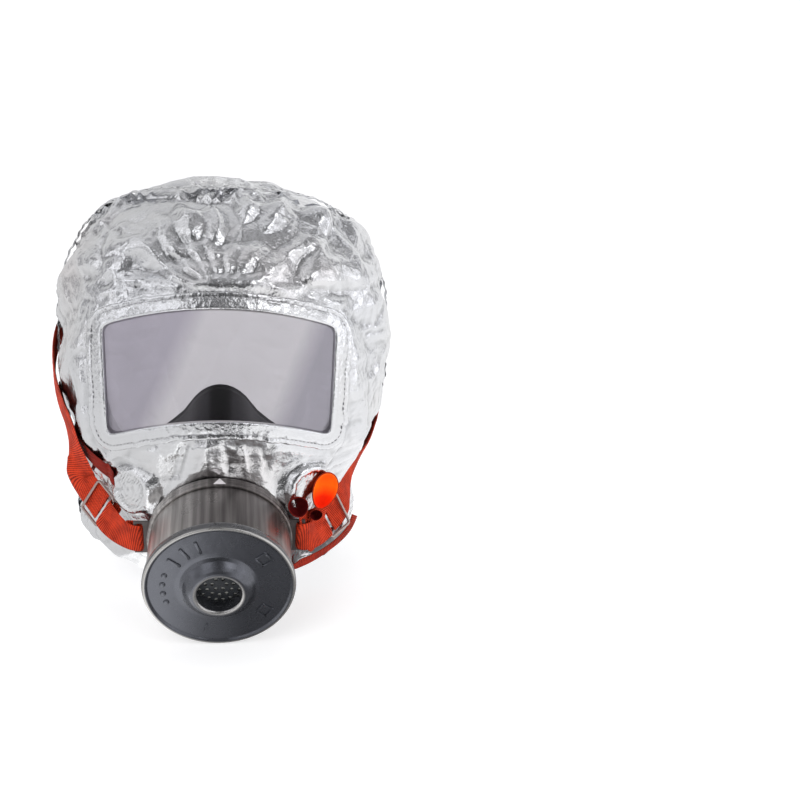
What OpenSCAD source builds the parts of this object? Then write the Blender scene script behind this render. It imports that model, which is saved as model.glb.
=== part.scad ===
// Filter-type fire escape smoke hood.
// Frame: +Z up, the face looks along -Y. Left (-X) and right (+X) are as seen
// from the front. The origin is under the centre of the neck opening, level
// with the lowest point of the canister rim.

/* [Hood] */
// Cloth thickness of the two hood panels
cloth_t = 0.8; // [0.6:0.1:1.0]
// Height of the middle of the window above the base plane
window_z = 161; // [158:1:164]
// Half width of the window opening at its upper corners
window_hw = 71; // [64:1:73]
// Rise of the window edges at the middle
window_arc = 10; // [6:1:12]
// Width of the sewn frame strip round the window
frame_w = 9; // [6:1:10]
// Width of the binding over the crown seam
binding_w = 8; // [5:1:9]

/* [Port and canister] */
// Downward tilt of the canister axis, degrees
tilt = 18.3; // [18:0.1:19]
// Outer radius of the clamp ring
clamp_r = 44.5; // [43.5:0.5:45.5]
// Outer radius of the canister shell at its rear end
shell_rear_r = 43; // [42.6:0.1:43.2]
// Outer radius of the rolled lid rim
rim_r = 45.2; // [44.9:0.1:45.4]
// Radius of the round intake opening in the lid
intake_r = 13; // [11:0.5:13]
// Outer radius of the mask connector tube
tube_r = 17.8; // [17:0.1:17.9]

/* [Valves] */
// Radius of the inhalation flap
in_flap_r = 13.2; // [11:0.1:13.6]
// Radius of each exhalation flap
ex_flap_r = 7.8; // [7.4:0.1:8.2]

/* [Harness] */
// Width of the webbing
web_w = 20; // [16:1:20]
// Thickness of the webbing
web_t = 1.3; // [1:0.1:1.5]
// Radius of the ring wire
wire_r = 0.95; // [0.8:0.05:1]
// Clear length of each ring bar
ring_clear = 22; // [21:0.5:23]
// Spacing of the two long bars of a wire ring
ring_pitch = 18; // [16:0.5:19]

/* [Hidden] */

$fn = 72;
silver = [0.80, 0.81, 0.83];
black = [0.09, 0.09, 0.10];
rubber = [0.16, 0.16, 0.17];
seat_grey = [0.25, 0.25, 0.27];
flap_cream = [0.78, 0.76, 0.70];
orange = [0.80, 0.20, 0.12];
metal = [0.75, 0.70, 0.69];

// ---------- vectors and curves ----------
function unit(v) = v / norm(v);
function mix(a, b, k) = a * (1 - k) + b * k;
function smooth(a) = let (c = min(1, max(0, a))) c * c * (3 - 2 * c);
function flat(grid) = [for (row = grid) each row];

// Catmull-Rom curve through the points; at = 0 is the first, 1 the second...
function spline(points, at) =
  let (last = len(points) - 1, x = min(max(at, 0), last),
       i = min(floor(x), last - 1), f = x - i, f2 = f * f, f3 = f2 * f,
       p0 = points[max(i - 1, 0)], p1 = points[i],
       p2 = points[i + 1], p3 = points[min(i + 2, last)])
  (2 * f3 - 3 * f2 + 1) * p1 + (f3 - 2 * f2 + f) * (p2 - p0) / 2
  + (3 * f2 - 2 * f3) * p2 + (f3 - f2) * (p3 - p1) / 2;

// ---------- port and exhalation valve frames ----------
// Port frame: x right, y up the port face, z outward along the canister axis.
port = [0, -102, 58.6];
port_axis = [0, -cos(tilt), -sin(tilt)];
port_up = [0, -sin(tilt), cos(tilt)];
function on_port(x, y, z) = port + [x, 0, 0] + y * port_up + z * port_axis;
module at_port() translate(port) rotate([90 + tilt, 0, 0]) children();
module port_lathe(profile) at_port() rotate_extrude() polygon(profile);

// Exhalation valve frame: z outward; side is -1 left, 1 right.
valve_place = [50.5, -94.5, 87];
valve_turn = 33;
valve_dip = 4;
valve_inset = 3.6;
function valve_axis(side) = [side * sin(valve_turn) * cos(valve_dip),
  -cos(valve_turn) * cos(valve_dip), -sin(valve_dip)];
function valve_point(side) = [side * valve_place[0], valve_place[1], valve_place[2]];
module at_valve(side)
  translate(valve_point(side) - valve_inset * valve_axis(side))
    rotate([0, 0, side * valve_turn]) rotate([90 + valve_dip, 0, 0]) children();

// ---------- hood surface ----------
// A place on the hood is a turn in degrees (0 front, 90 right, 180 back) and a
// level, the row number in this table from the neck to the crown pole.
// Columns: front y, front z, side x, side y, side z, back y, back z
levels = [
  [-74, 22, 74, 0, 22, 74, 22],
  [-82, 21.5, 80, 0, 21, 82, 21.5],
  [-89.5, 31, 89, 0, 30, 90, 31],
  [-97, 45, 96, 0, 43, 94, 46],
  [-103.5, 64, 93, 0, 60, 92, 64],
  [-109, 81, 91, 0, 76, 92, 81],
  [-115, 99, 97, 0, 94, 96, 101],
  [-118.5, 116, 105, 0, 113, 101, 123],
  [-117.5, 134, 110, 0, 136, 105, 148],
  [-109, 167, 110.5, -2, 166, 106, 179],
  [-98, 200, 108, -5, 196, 101, 209],
  [-86, 224, 99, -9, 221, 90, 234],
  [-70, 245, 82, -15, 244, 66, 255],
  [-50, 258, 49, -22, 259.5, 30, 266],
  [-30, 263.5, 0, -30, 263.5, -30, 263.5]];
top_level = len(levels) - 1;

// Width factor: the cloth is drawn in by up to 4.5% over the upper left side
// and up to 6.5% at the lower right.
function lean(across, level) = 1 - across * across * (across < 0
  ? 0.045 * smooth((level - 6) / 1.5) * smooth((13.2 - level) / 1.6)
  : 0.065 * smooth(level / 1.4) * smooth((6.2 - level) / 1.8));

function dome(turn, level) =
  let (row = spline(levels, level), c = cos(turn), across = sin(turn),
       end_y = c >= 0 ? row[0] : row[5], end_z = c >= 0 ? row[1] : row[6])
  [row[2] * across * lean(across, level),
   row[3] + (end_y - row[3]) * abs(c),
   row[4] + (end_z - row[4]) * c * c];

// The cloth lies flat against the clamp ring, easing off over a wider band.
port_flat_r = 36;
port_ease = 24;
function flatten(p, front) =
  let (from_port = p - port, depth = from_port * port_axis,
       r = sqrt(max(0, from_port * from_port - depth * depth)),
       weight = front ? 1 - smooth((r - port_flat_r) / port_ease) : 0)
  p - weight * depth * port_axis;

// The cloth rides over the two exhalation valve covers.
bump_rise = 5;
bump_r = 14;
bump_ease = 9;
function bump(p, side) = p + bump_rise
  * (1 - smooth((norm(p - valve_point(side)) - bump_r) / bump_ease)) * valve_axis(side);

function hood(turn, level) =
  bump(bump(flatten(dome(turn, level), cos(turn) >= -1e-9), 1), -1);

// Change of place over a small step up the hood.
level_step = 0.02;
function hood_rise(turn, level) =
  hood(turn, level + level_step) - hood(turn, level - level_step);

// Outward normal, taken just short of the pole.
function hood_normal(turn, level) =
  let (safe = min(level, top_level - 0.06))
  unit(cross(hood(turn + 0.5, safe) - hood(turn - 0.5, safe), hood_rise(turn, safe)));

function skin(turn, level, lift) = hood(turn, level) + lift * hood_normal(turn, level);

// ---------- grid solids ----------
function quad(a, b, c, d) = [[a, b, c], [a, c, d]];

// Closed solid between two point grids of equal size. wrap joins the last
// column to the first.
module grid_solid(outer, inner, wrap = false) {
  rows = len(outer);
  n = len(outer[0]);
  k = rows * n; // index of the first inner point
  cols = wrap ? n - 1 : n - 2;
  last = (rows - 1) * n;
  faces = concat(
    [for (i = [0 : rows - 2]) for (j = [0 : cols])
      let (a = i * n + j, b = i * n + (j + 1) % n) each quad(a, a + n, b + n, b)],
    [for (i = [0 : rows - 2]) for (j = [0 : cols])
      let (a = k + i * n + j, b = k + i * n + (j + 1) % n) each quad(a, b, b + n, a + n)],
    [for (j = [0 : cols]) let (b = (j + 1) % n) each quad(j, b, b + k, j + k)],
    [for (j = [0 : cols])
      let (a = last + j, b = last + (j + 1) % n) each quad(a, a + k, b + k, b)],
    wrap ? [] : [for (i = [0 : rows - 2])
      let (a = i * n) each quad(a, a + k, a + n + k, a + n)],
    wrap ? [] : [for (i = [0 : rows - 2])
      let (a = i * n + n - 1) each quad(a, a + n, a + n + k, a + k)]);
  polyhedron(concat(flat(outer), flat(inner)), faces, convexity = 8);
}

// Sheet between two lifts from the hood surface.
module patch(turn0, turn1, steps, at_levels, inner, outer) {
  function grid(lift) = [for (level = at_levels) [for (i = [0 : steps])
    skin(turn0 + (turn1 - turn0) * i / steps, level, lift)]];
  grid_solid(grid(outer), grid(inner));
}

// Strip along stations of [centre, width direction, normal], its inner face on
// the centre line. The width direction is flipped where needed, so that the
// faces point outward.
function ribbon_grid(stations, w, lift) = [for (s = stations)
  [for (k = [1, 0, -1]) s[0] + k * s[1] * w / 2 + s[2] * lift]];
module ribbon(stations, w, t) {
  first = stations[0];
  flip = cross(stations[1][0] - first[0], first[1]) * first[2] > 0 ? 1 : -1;
  turned = [for (s = stations) [s[0], s[1] * flip, s[2]]];
  grid_solid(ribbon_grid(turned, w, t), ribbon_grid(turned, w, 0));
}

// ---------- window ----------
window_tip = 12;       // upward tip of the cutting direction, degrees
window_top = 7.5;      // upper and lower edges at the corners, from window_z
window_bottom = -60;
window_taper = 0.955;  // lower width over upper width
window_corner = 6.5;
function window_rise(x) = window_arc * (1 - pow(x / window_hw, 2));
module window_2d(grow) {
  n = 24;
  xs = [for (i = [0 : n]) -window_hw + 2 * window_hw * i / n];
  offset(r = grow + window_corner) offset(delta = -window_corner)
    polygon(concat(
      [for (x = xs) [x, window_top + window_rise(x)]],
      [for (x = xs) [-x * window_taper, window_bottom + window_rise(x)]]));
}
module window_prism(grow = 0)
  translate([0, 0, window_z]) rotate([90 - window_tip, 0, 0])
    translate([0, 0, 40]) linear_extrude(110) window_2d(grow, $fn = 24);

// ---------- hood panels ----------
seam_gap = 0.3;   // degrees from each panel edge to the side plane
port_hole_r = 19.5;
face_levels = [0, 0.35, 0.7, 1, 1.4, 1.8, 2.4, 3, 3.5, 4, 4.5, 5, 5.4, 5.8, 6.3, 6.8,
  7.4, 8, 8.7, 9.4, 10.1, 10.8, 11.4, 12, 12.5, 13, 13.5, 13.85];
back_levels = [0, 0.35, 0.7, 1, 1.5, 2, 2.7, 3.4, 4, 4.6, 5.2, 6, 7, 8, 9, 10, 11,
  11.8, 12.5, 13.1, 13.6, 13.85];

module hood_face_panel() color(silver) difference() {
  patch(seam_gap - 90, 90 - seam_gap, 34, face_levels, 0, cloth_t);
  window_prism();
  at_port() translate([0, 0, -6]) cylinder(r = port_hole_r, h = 12);
}
module hood_back_panel() color(silver)
  patch(90 + seam_gap, 270 - seam_gap, 22, back_levels, 0, cloth_t);

// The binding runs up the left seam, over the pole and down the right seam.
binding_lift = cloth_t + 0.7;
binding_t = 0.6;
binding_pole = [0, -30, 263.7 + binding_lift];
seam_ends = [1.2, 13.7];
seam_steps = 29;
seam_levels = [for (i = [0 : seam_steps])
  seam_ends[0] + (seam_ends[1] - seam_ends[0]) * i / seam_steps];
function seam_station(side, level) =
  let (turn = side * 90, normal = hood_normal(turn, level))
  [hood(turn, level) + binding_lift * normal,
   unit(cross(normal, side * hood_rise(turn, level))), normal];
module crown_seam_binding() color([0.62, 0.62, 0.63]) ribbon(concat(
    [for (level = seam_levels) seam_station(-1, level)],
    [[binding_pole, [0, -1, 0], [0, 0, 1]]],
    [for (i = [seam_steps : -1 : 0]) seam_station(1, seam_levels[i])]), binding_w, binding_t);

// ---------- visor ----------
pane_levels = [6.2, 6.7, 7.2, 7.7, 8.2, 8.8, 9.4, 10, 10.6, 11];
strip_levels = [5.9, 6.3, 6.8, 7.3, 7.8, 8.3, 8.8, 9.4, 10, 10.6, 11.1];

module visor_pane() color([0.72, 0.71, 0.73, 0.45]) intersection() {
  patch(-56, 56, 24, pane_levels, -1.6, -0.55);
  window_prism(8);
}
// Band round the window between two growths of its outline.
module visor_band(inner, outer, grow, hole_grow) difference() {
  intersection() {
    patch(-60, 60, 26, strip_levels, inner, outer);
    window_prism(grow);
  }
  window_prism(hole_grow);
}
module visor_frame_strip() color(silver)
  visor_band(inner = cloth_t + 0.25, outer = cloth_t + 0.85, grow = frame_w, hole_grow = 0);
module visor_seal_strip() color([0.30, 0.30, 0.31])
  visor_band(inner = -2.6, outer = -1.8, grow = 10, hole_grow = -1);

// ---------- neck ----------
neck_z = levels[0][1];
// Channel section, open upward: radius, height from neck_z
hem_profile = [[73.3, 4], [72.5, 4], [72.5, -3.2], [68, -3.2], [68, 4], [67.2, 4],
  [67.2, -4], [73.3, -4]];
// Sloping skirt: radius, z
collar_profile = [[66.8, 19.0], [66.8, 20.4], [60, 23.8], [55.2, 28], [54.4, 27], [59.4, 22.6]];

module neck_hem() color(silver)
  translate([0, 0, neck_z]) rotate_extrude() polygon(hem_profile);
module neck_elastic() color(black)
  translate([0, 0, neck_z]) rotate_extrude() translate([69, -2.6]) square([2.8, 6]);
module neck_seal_collar() color(rubber) rotate_extrude() polygon(collar_profile);

// ---------- half mask ----------
mask_t = 2.2;
mask_columns = 36;
mask_rows = 12;
mask_hole_r = 18.6;
mask_flat_r = 30;
mask_flat_z = -0.35;

// Edge on the face, narrowed towards the top; a is 0 at the right, 90 at the top.
function mask_edge(a) = let (s = sin(a))
  [54 * cos(a) * (1 - 0.42 * smooth((s - 0.33) / 0.45)),
   -38 - (s > 0 ? 42 : 26) * pow(s, 2), 70 + (s > 0 ? 77 : 40) * s];
function mask_circle(a, r) = on_port(r * cos(a), r * sin(a), mask_flat_z);
// v runs from -1 at the port hole, through 0 at the rim of the flat, to 1 at
// the edge. The wall bulges outward between 0 and 1.
function mask_point(a, v) = v <= 0
  ? mask_circle(a, mask_hole_r + (mask_flat_r - mask_hole_r) * (1 + v))
  : let (s = sin(a), bulge = s > 0 ? mix(13, 8, s) : mix(13, 2, -s))
    mix(mask_circle(a, mask_flat_r), mask_edge(a), v)
    + bulge * sin(180 * v) * [0.25 * cos(a), -0.9, 0.2 * s];
function mask_normal(a, v) =
  let (safe = max(v, -0.98), step = 0.02,
       round = mask_point(a + 1, safe) - mask_point(a - 1, safe),
       along = mask_point(a, min(safe + step, 1)) - mask_point(a, safe - step))
  unit(cross(round, along));
function mask_grid(lift) = [for (v = mask_levels) [for (i = [0 : mask_columns - 1])
  let (a = -i * 360 / mask_columns) mask_point(a, v) + lift * mask_normal(a, v)]];
mask_levels = concat([-1, -0.5], [for (i = [0 : mask_rows]) 0.03 + 0.97 * i / mask_rows]);
// 1 where the normal points away from the face, else -1
mask_out = mask_normal(0, 0.5) * [0, -1, 0] > 0 ? 1 : -1;

boss_r = 9.4;      // short tube round each exhalation valve
boss_top = -0.3;
boss_h = 13.7;
boss_bore_r = 7.4;
module half_mask() color(black) difference() {
  union() {
    grid_solid(mask_grid(0), mask_grid(-mask_t * mask_out), wrap = true);
    for (side = [-1, 1]) at_valve(side)
      translate([0, 0, boss_top - boss_h]) cylinder(r = boss_r, h = boss_h, $fn = 48);
  }
  for (side = [-1, 1]) at_valve(side) {
    translate([0, 0, -30]) cylinder(r = boss_bore_r, h = 40, $fn = 48);
    // room for the valve cover
    translate([0, 0, boss_top]) cylinder(r = 13, h = 12, $fn = 48);
  }
}

// Oval bead on the wearer's side of the mask edge.
lip_rows = 48;
lip_points = 8;
lip_back = 5.2;         // distance behind the edge
lip_half = [2.6, 3.6];  // half depth, half breadth
lip_inset = 3;
function lip_row(a) =
  let (out = unit([cos(a), 0, 1.2 * sin(a)]),
       centre = mask_edge(a) + [0, lip_back, 0] - lip_inset * out)
  [for (k = [0 : lip_points - 1]) let (c = k * 360 / lip_points)
    centre + lip_half[0] * cos(c) * [0, 1, 0] + lip_half[1] * sin(c) * out];
module mask_face_lip() color(black) {
  n = lip_points;
  polyhedron(
    flat([for (i = [0 : lip_rows - 1]) lip_row(i * 360 / lip_rows)]),
    [for (i = [0 : lip_rows - 1]) for (k = [0 : n - 1])
      let (here = i * n, next = ((i + 1) % lip_rows) * n, k2 = (k + 1) % n)
      each quad(here + k, here + k2, next + k2, next + k)]);
}

// ---------- connector and inhalation valve (port frame) ----------
connector_bore_r = 15;
flange_r = 27;
flange_z = [-5.4, -2.9];
tube_end_z = 16;
module mask_connector() color(black) port_lathe([
  [connector_bore_r, flange_z[0]], [flange_r, flange_z[0]], [flange_r, flange_z[1]],
  [tube_r, flange_z[1]], [tube_r, tube_end_z], [connector_bore_r, tube_end_z]]);

// Spoked disc: four slots, each slot_span degrees wide.
slot_r = [4, 12];
slot_span = 74;
module inhalation_seat() color(seat_grey) at_port() translate([0, 0, 4]) difference() {
  cylinder(r = 14.9, h = 1.8);
  translate([0, 0, -1]) cylinder(r = 1.4, h = 4);
  for (i = [0 : 3]) translate([0, 0, -1]) rotate([0, 0, i * 90 + (90 - slot_span) / 2])
    rotate_extrude(angle = slot_span)
      translate([slot_r[0], 0]) square([slot_r[1] - slot_r[0], 4]);
}
module inhalation_stud() color([0.75, 0.74, 0.70]) at_port() union() {
  translate([0, 0, -0.6]) cylinder(r = 3, h = 1, $fn = 32);
  cylinder(r = 1.3, h = 6.6, $fn = 32);
  translate([0, 0, 5.9]) cylinder(r = 2.2, h = 1, $fn = 32);
}
module inhalation_flap() color(flap_cream) at_port() translate([0, 0, 3]) difference() {
  cylinder(r = in_flap_r, h = 0.8);
  translate([0, 0, -1]) cylinder(r = 1.6, h = 3);
}

// ---------- exhalation valves (valve frame) ----------
// Radius, z
seat_profile = [[6, -12], [7.2, -12], [7.2, -0.1], [9.4, -0.1], [9.4, 1.4], [6, 1.4]];
cover_profile = [[9.6, 0], [10.6, 0], [10.6, 4.3], [9.8, 5.4], [0, 5.6], [0, 4.8], [9.6, 4.6]];

// Flanged sleeve with a cross of two spokes and a headed pin.
module exhalation_seat(side) color(seat_grey) at_valve(side) union() {
  rotate_extrude($fn = 48) polygon(seat_profile);
  for (a = [0, 90]) rotate([0, 0, a]) translate([-6.5, -0.7, -0.1]) cube([13, 1.4, 1.2]);
  cylinder(r = 0.9, h = 4, $fn = 32);
  translate([0, 0, 3.8]) cylinder(r = 1.8, h = 0.5, $fn = 32);
}
module exhalation_flap(side) color(flap_cream)
  at_valve(side) translate([0, 0, 1.6]) difference() {
    cylinder(r = ex_flap_r, h = 0.6, $fn = 48);
    translate([0, 0, -1]) cylinder(r = 1.2, h = 3, $fn = 32);
  }
// Cap with six openings round its wall.
module exhalation_cover(side) color([0.55, 0.55, 0.56]) at_valve(side) difference() {
  rotate_extrude($fn = 48) polygon(cover_profile);
  for (i = [0 : 5]) rotate([0, 0, i * 60]) translate([8, -1.6, 1.6]) cube([4, 3.2, 2]);
}

// ---------- yoke and clamp (port frame) ----------
tube_hole_r = tube_r + 0.3;
yoke_z = 1.3;
yoke_t = 1.4;
lug_reach = 52.4;
lug_w = 24;
lug_slot = [3.2, 21.2];
lug_slot_x = 49;
module harness_yoke() color(rubber) at_port() translate([0, 0, yoke_z]) difference() {
  union() {
    cylinder(r = 40, h = yoke_t);
    translate([-lug_reach, -lug_w / 2, 0]) cube([2 * lug_reach, lug_w, yoke_t]);
  }
  translate([0, 0, -1]) cylinder(r = 18.4, h = 4);
  for (side = [-1, 1])
    translate([side * lug_slot_x - lug_slot[0] / 2, -lug_slot[1] / 2, -1])
      cube([lug_slot[0], lug_slot[1], 4]);
}

clamp_web_z = 3.1;    // rear face of the disc inside the clamp skirt
clamp_front_z = 8.6;
clamp_gap_w = lug_w + 0.8;
module clamp_ring() color(black) at_port() difference() {
  rotate_extrude() polygon([[tube_hole_r, clamp_web_z], [41, clamp_web_z], [41, yoke_z],
    [clamp_r - 0.6, yoke_z], [clamp_r, 1.9], [clamp_r, 7.9],
    [clamp_r - 0.7, clamp_front_z], [tube_hole_r, clamp_front_z]]);
  // gaps in the skirt for the yoke lugs
  translate([-60, -clamp_gap_w / 2, 0]) cube([120, clamp_gap_w, clamp_web_z]);
}
// Triangle on top of the clamp ring, its point to the rear.
module index_mark() color([0.78, 0.76, 0.75])
  at_port() translate([0, clamp_r + 0.05, 8.2]) rotate([-90, 0, 0])
    linear_extrude(0.5) polygon([[-3.6, 0], [3.6, 0], [0, 5.2]]);

// ---------- canister (port frame, rear end at low z) ----------
shell_rear_z = 8.9;
module canister_shell() color(black) port_lathe([
  [shell_rear_r - 3, shell_rear_z], [shell_rear_r - 0.6, shell_rear_z], [shell_rear_r, 9.5],
  [shell_rear_r + 0.7, 47.9], [shell_rear_r - 0.9, 47.9], [shell_rear_r - 1.6, 10.6],
  [shell_rear_r - 3, 10.2]]);
// Rolled rim, flat annulus and raised collar round the intake.
module canister_lid() color(black) port_lathe([
  [rim_r - 1.1, 44.6], [rim_r - 0.3, 44.6], [rim_r - 0.1, 46], [rim_r, 47.4],
  [rim_r + 0.05, 48.6], [rim_r - 0.3, 49.7], [rim_r - 1.2, 50.4], [rim_r - 2.2, 50.3],
  [rim_r - 2.9, 49.6], [rim_r - 3.5, 48.9], [26, 49.3], [23.5, 49.8], [21.5, 51.2],
  [19.4, 54], [17.6, 56], [16.2, 57.1], [15.2, 57.4], [14.2, 57.2], [13.4, 56.5],
  [intake_r, 55.5], [intake_r, 47.4], [intake_r + 2, 47.4], [intake_r + 2, 53.6],
  [17.8, 52.4], [20.6, 48.6], [23, 48], [rim_r - 4.6, 47.4], [rim_r - 4, 48.1],
  [rim_r - 1.1, 48.3]]);

// Raised marks on the lid: three bars, four studs, two square frames and a tick.
mark_z = 49.37;
module at_lid(a, r) rotate([0, 0, a]) translate([r, 0, mark_z]) children();
module lid_bar(w, l) translate([-w / 2, -l / 2, 0]) cube([w, l, 1]);
module lid_marks() color([0.2, 0.2, 0.21]) at_port() {
  for (a = [112, 128, 144]) at_lid(a, 32) lid_bar(9, 1.6);
  for (a = [164, 176, 188, 200]) at_lid(a, 33) cylinder(r = 1.5, h = 1, $fn = 24);
  for (a = [38, -36]) at_lid(a, 33) difference() {
    translate([-4, -4, 0]) cube([8, 8, 0.9]);
    translate([-2.8, -2.8, -1]) cube([5.6, 5.6, 3]);
  }
  at_lid(-104, 33.5) lid_bar(6, 1.4);
}

// Rings of grille holes: ring radius, number of holes
grille_rings = [[4.2, 6], [8.2, 12], [12.2, 18]];
grille_r = 40.6;
module intake_grille() color([0.14, 0.14, 0.15]) at_port() translate([0, 0, 45.9])
  difference() {
    cylinder(r = grille_r, h = 1.2);
    translate([0, 0, -1]) for (ring = grille_rings) for (i = [0 : ring[1] - 1])
      rotate([0, 0, i * 360 / ring[1]]) translate([ring[0], 0, 0])
        cylinder(r = 1.15, h = 4, $fn = 16);
  }

module disc(z, h) at_port() translate([0, 0, z]) cylinder(r = 40.8, h = h);
module dust_felt() color([0.85, 0.85, 0.82]) disc(z = 43.4, h = 2.2);

// Ring-pleated sheet.
pleats = 11;
pleat_r = [1, 40.6];
pleat_z = 35.4;
pleat_h = 6.4;
pleat_t = 0.8;
function pleat_point(i, lift) =
  [pleat_r[0] + (pleat_r[1] - pleat_r[0]) * i / (2 * pleats), pleat_z + (i % 2) * pleat_h + lift];
module particulate_filter() color([0.93, 0.92, 0.88]) port_lathe(concat(
  [for (i = [0 : 2 * pleats]) pleat_point(i, pleat_t)],
  [for (i = [2 * pleats : -1 : 0]) pleat_point(i, 0)]));

// Thicknesses from the rear: screen, carbon, screen, catalyst, screen,
// desiccant, screen
layer_ts = [0.7, 4.2, 0.5, 4.2, 0.5, 2.7, 0.7];
layer_gap = 0.2;
function layer_z(i) = i == 0 ? 20 : layer_z(i - 1) + layer_ts[i - 1] + layer_gap;
module layer(i) disc(layer_z(i), layer_ts[i]);
module bed_screens() color([0.70, 0.71, 0.72]) for (i = [0 : 2 : 6]) layer(i);
module carbon_bed() color([0.07, 0.07, 0.07]) layer(1);
module catalyst_bed() color([0.23, 0.17, 0.12]) layer(3);
module desiccant_bed() color([0.88, 0.88, 0.84]) layer(5);
module bed_spring() color([0.6, 0.6, 0.62])
  port_lathe([[24, 11], [25, 10.8], [38.4, 19], [37.4, 19.4]]);

plate_r = shell_rear_r - 3.3;
module canister_rear_plate() color(black) port_lathe([
  [tube_hole_r, shell_rear_z], [plate_r, shell_rear_z], [plate_r, 10.5], [21.6, 10.5],
  [21.6, 19], [14, 19], [14, 17.6], [tube_hole_r, 17.6]]);
module canister_gasket() color([0.5, 0.12, 0.08])
  at_port() rotate_extrude() translate([15.2, 16.1]) square([2.6, 1.3]);

// ---------- wire rings ----------
// Ring i is 0 left, 1 right. Its frame: origin at the middle of its inner bar,
// x along the bar, y towards the outer bar, z out of the hood.
ring_origin = [[-71.5, -79.5, 64.5], [65.5, -83.5, 58]];
ring_y = [unit([-10.6, 11, 9.5]), unit([12.6, 10.5, 6.6])];
ring_bar = [[0.60, -0.34, 0.80], [0.50, 0.1, -0.86]]; // rough bar direction
function ring_x(i) = unit(ring_bar[i] - (ring_bar[i] * ring_y[i]) * ring_y[i]);
function ring_z(i) = cross(ring_x(i), ring_y[i]);
function in_ring(i, p) =
  ring_origin[i] + p[0] * ring_x(i) + p[1] * ring_y[i] + p[2] * ring_z(i);
module at_ring(i) multmatrix([for (r = [0 : 2])
  [ring_x(i)[r], ring_y[i][r], ring_z(i)[r], ring_origin[i][r]]]) children();

module wire_ring(i) color(metal) at_ring(i) {
  half = ring_clear / 2 + wire_r;
  for (y = [0, ring_pitch]) translate([-half, y, 0]) rotate([0, 90, 0])
    cylinder(r = wire_r, h = 2 * half, $fn = 32);
  for (x = [-half, half]) translate([x, 0, 0]) rotate([-90, 0, 0])
    cylinder(r = wire_r, h = ring_pitch, $fn = 32);
  for (x = [-half, half]) for (y = [0, ring_pitch])
    translate([x, y, 0]) sphere(r = wire_r + 0.15, $fn = 32);
}

// Webbing loop round the bar at bar_y, open towards dir, legs of length leg.
loop_r = wire_r + 0.35;
function loop_points(bar_y, dir, leg, r) = concat(
  [[bar_y + dir * leg, -r]],
  [for (a = [-90 : 22.5 : 90]) [bar_y - dir * r * cos(a), r * sin(a)]],
  [[bar_y + dir * leg, r]]);
module ring_loop(i, bar_y, dir, leg) {
  outer = loop_points(bar_y, dir, leg, loop_r + web_t);
  inner = loop_points(bar_y, dir, leg, loop_r);
  at_ring(i) rotate([90, 0, 90]) translate([0, 0, -web_w / 2]) linear_extrude(web_w)
    polygon(concat(outer, [for (k = [len(inner) - 1 : -1 : 0]) inner[k]]));
}
module strap_loop(i) color(orange) ring_loop(i, bar_y = ring_pitch, dir = 1, leg = 5);

// ---------- straps laid on the hood ----------
// Paths are rows of turn, level, lift from the hood surface.
head_paths = [
  [[-60.5, 5.3, 9.6], [-58.5, 6.2, 6.4], [-60.5, 7.05, 4.8], [-68, 7.75, 4.2],
   [-80, 8.3, 3.8], [-93, 8.75, 3.4], [-110, 9.1, 2.8], [-132, 9.35, 2.4],
   [-156, 9.5, 2.2], [-178.6, 9.55, 2.2]],
  [[64, 4.75, 9], [76, 5.6, 5], [88, 6.4, 2.8], [101, 7.2, 2.4], [118, 8.1, 2.2],
   [137, 8.9, 2.2], [157, 9.4, 2.2], [178.6, 9.55, 2.2]]];
joint_path = [[174, 9.55, 3.9], [180, 9.55, 3.9], [186, 9.55, 3.9]];
left_tail_path = [[-47, 5.9, 1.7], [-58, 6.5, 1.7], [-68, 7.3, 1.7], [-75, 8.0, 1.7]];
right_tail_path = [[62, 3.4, 9], [58, 2.9, 6], [52, 2.5, 4.5], [44, 2.15, 4],
  [35, 1.95, 4], [27, 1.9, 4.5]];

// s runs from 0 to 1 along a path.
function path_row(path, s) = spline(path, s * (len(path) - 1));
function path_point(path, s) = let (q = path_row(path, s)) skin(q[0], q[1], q[2]);
function path_station(path, s) =
  let (q = path_row(path, s), step = 0.01,
       along = path_point(path, s + step) - path_point(path, s - step),
       across = unit(cross(hood_normal(q[0], q[1]), along)))
  [path_point(path, s), across, unit(cross(along, across))];
function path_stations(path, steps) = [for (k = [0 : steps]) path_station(path, k / steps)];

// Turns the width of a station towards another direction by the share k.
function aim(station, dir, k) =
  let (sign = station[1] * dir < 0 ? -1 : 1, across = unit(mix(station[1], sign * dir, k)))
  [station[0], across, unit(station[2] - (station[2] * across) * across)];

// Ribbon whose normals all point away from the middle of the hood.
hood_middle = [0, 0, 140];
module outward_ribbon(stations, w, t)
  ribbon([for (s = stations)
    [s[0], s[1], s[2] * (s[2] * (s[0] - hood_middle) > 0 ? 1 : -1)]], w, t);

// The ring end of each head strap is turned in line with the ring bar.
module head_strap(i) color(orange) {
  n = 34;
  outward_ribbon([for (k = [0 : n]) let (s = k / n)
    aim(path_station(head_paths[i], s), ring_x(i), 0.85 * (1 - smooth(s / 0.22)))],
    web_w, web_t);
}
module strap_joint_patch() color([0.55, 0.12, 0.08])
  outward_ribbon(path_stations(joint_path, 4), web_w + 4, 1.1);
module strap_tail_left() color([0.55, 0.10, 0.07])
  outward_ribbon(path_stations(left_tail_path, 10), 12, 1.1);
module strap_tail_right() color(orange)
  outward_ribbon(path_stations(right_tail_path, 14), 14, web_t);

// ---------- short straps ----------
function bezier(p, s) = let (k = 1 - s)
  k * k * k * p[0] + 3 * k * k * s * p[1] + 3 * k * s * s * p[2] + s * s * s * p[3];
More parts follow.
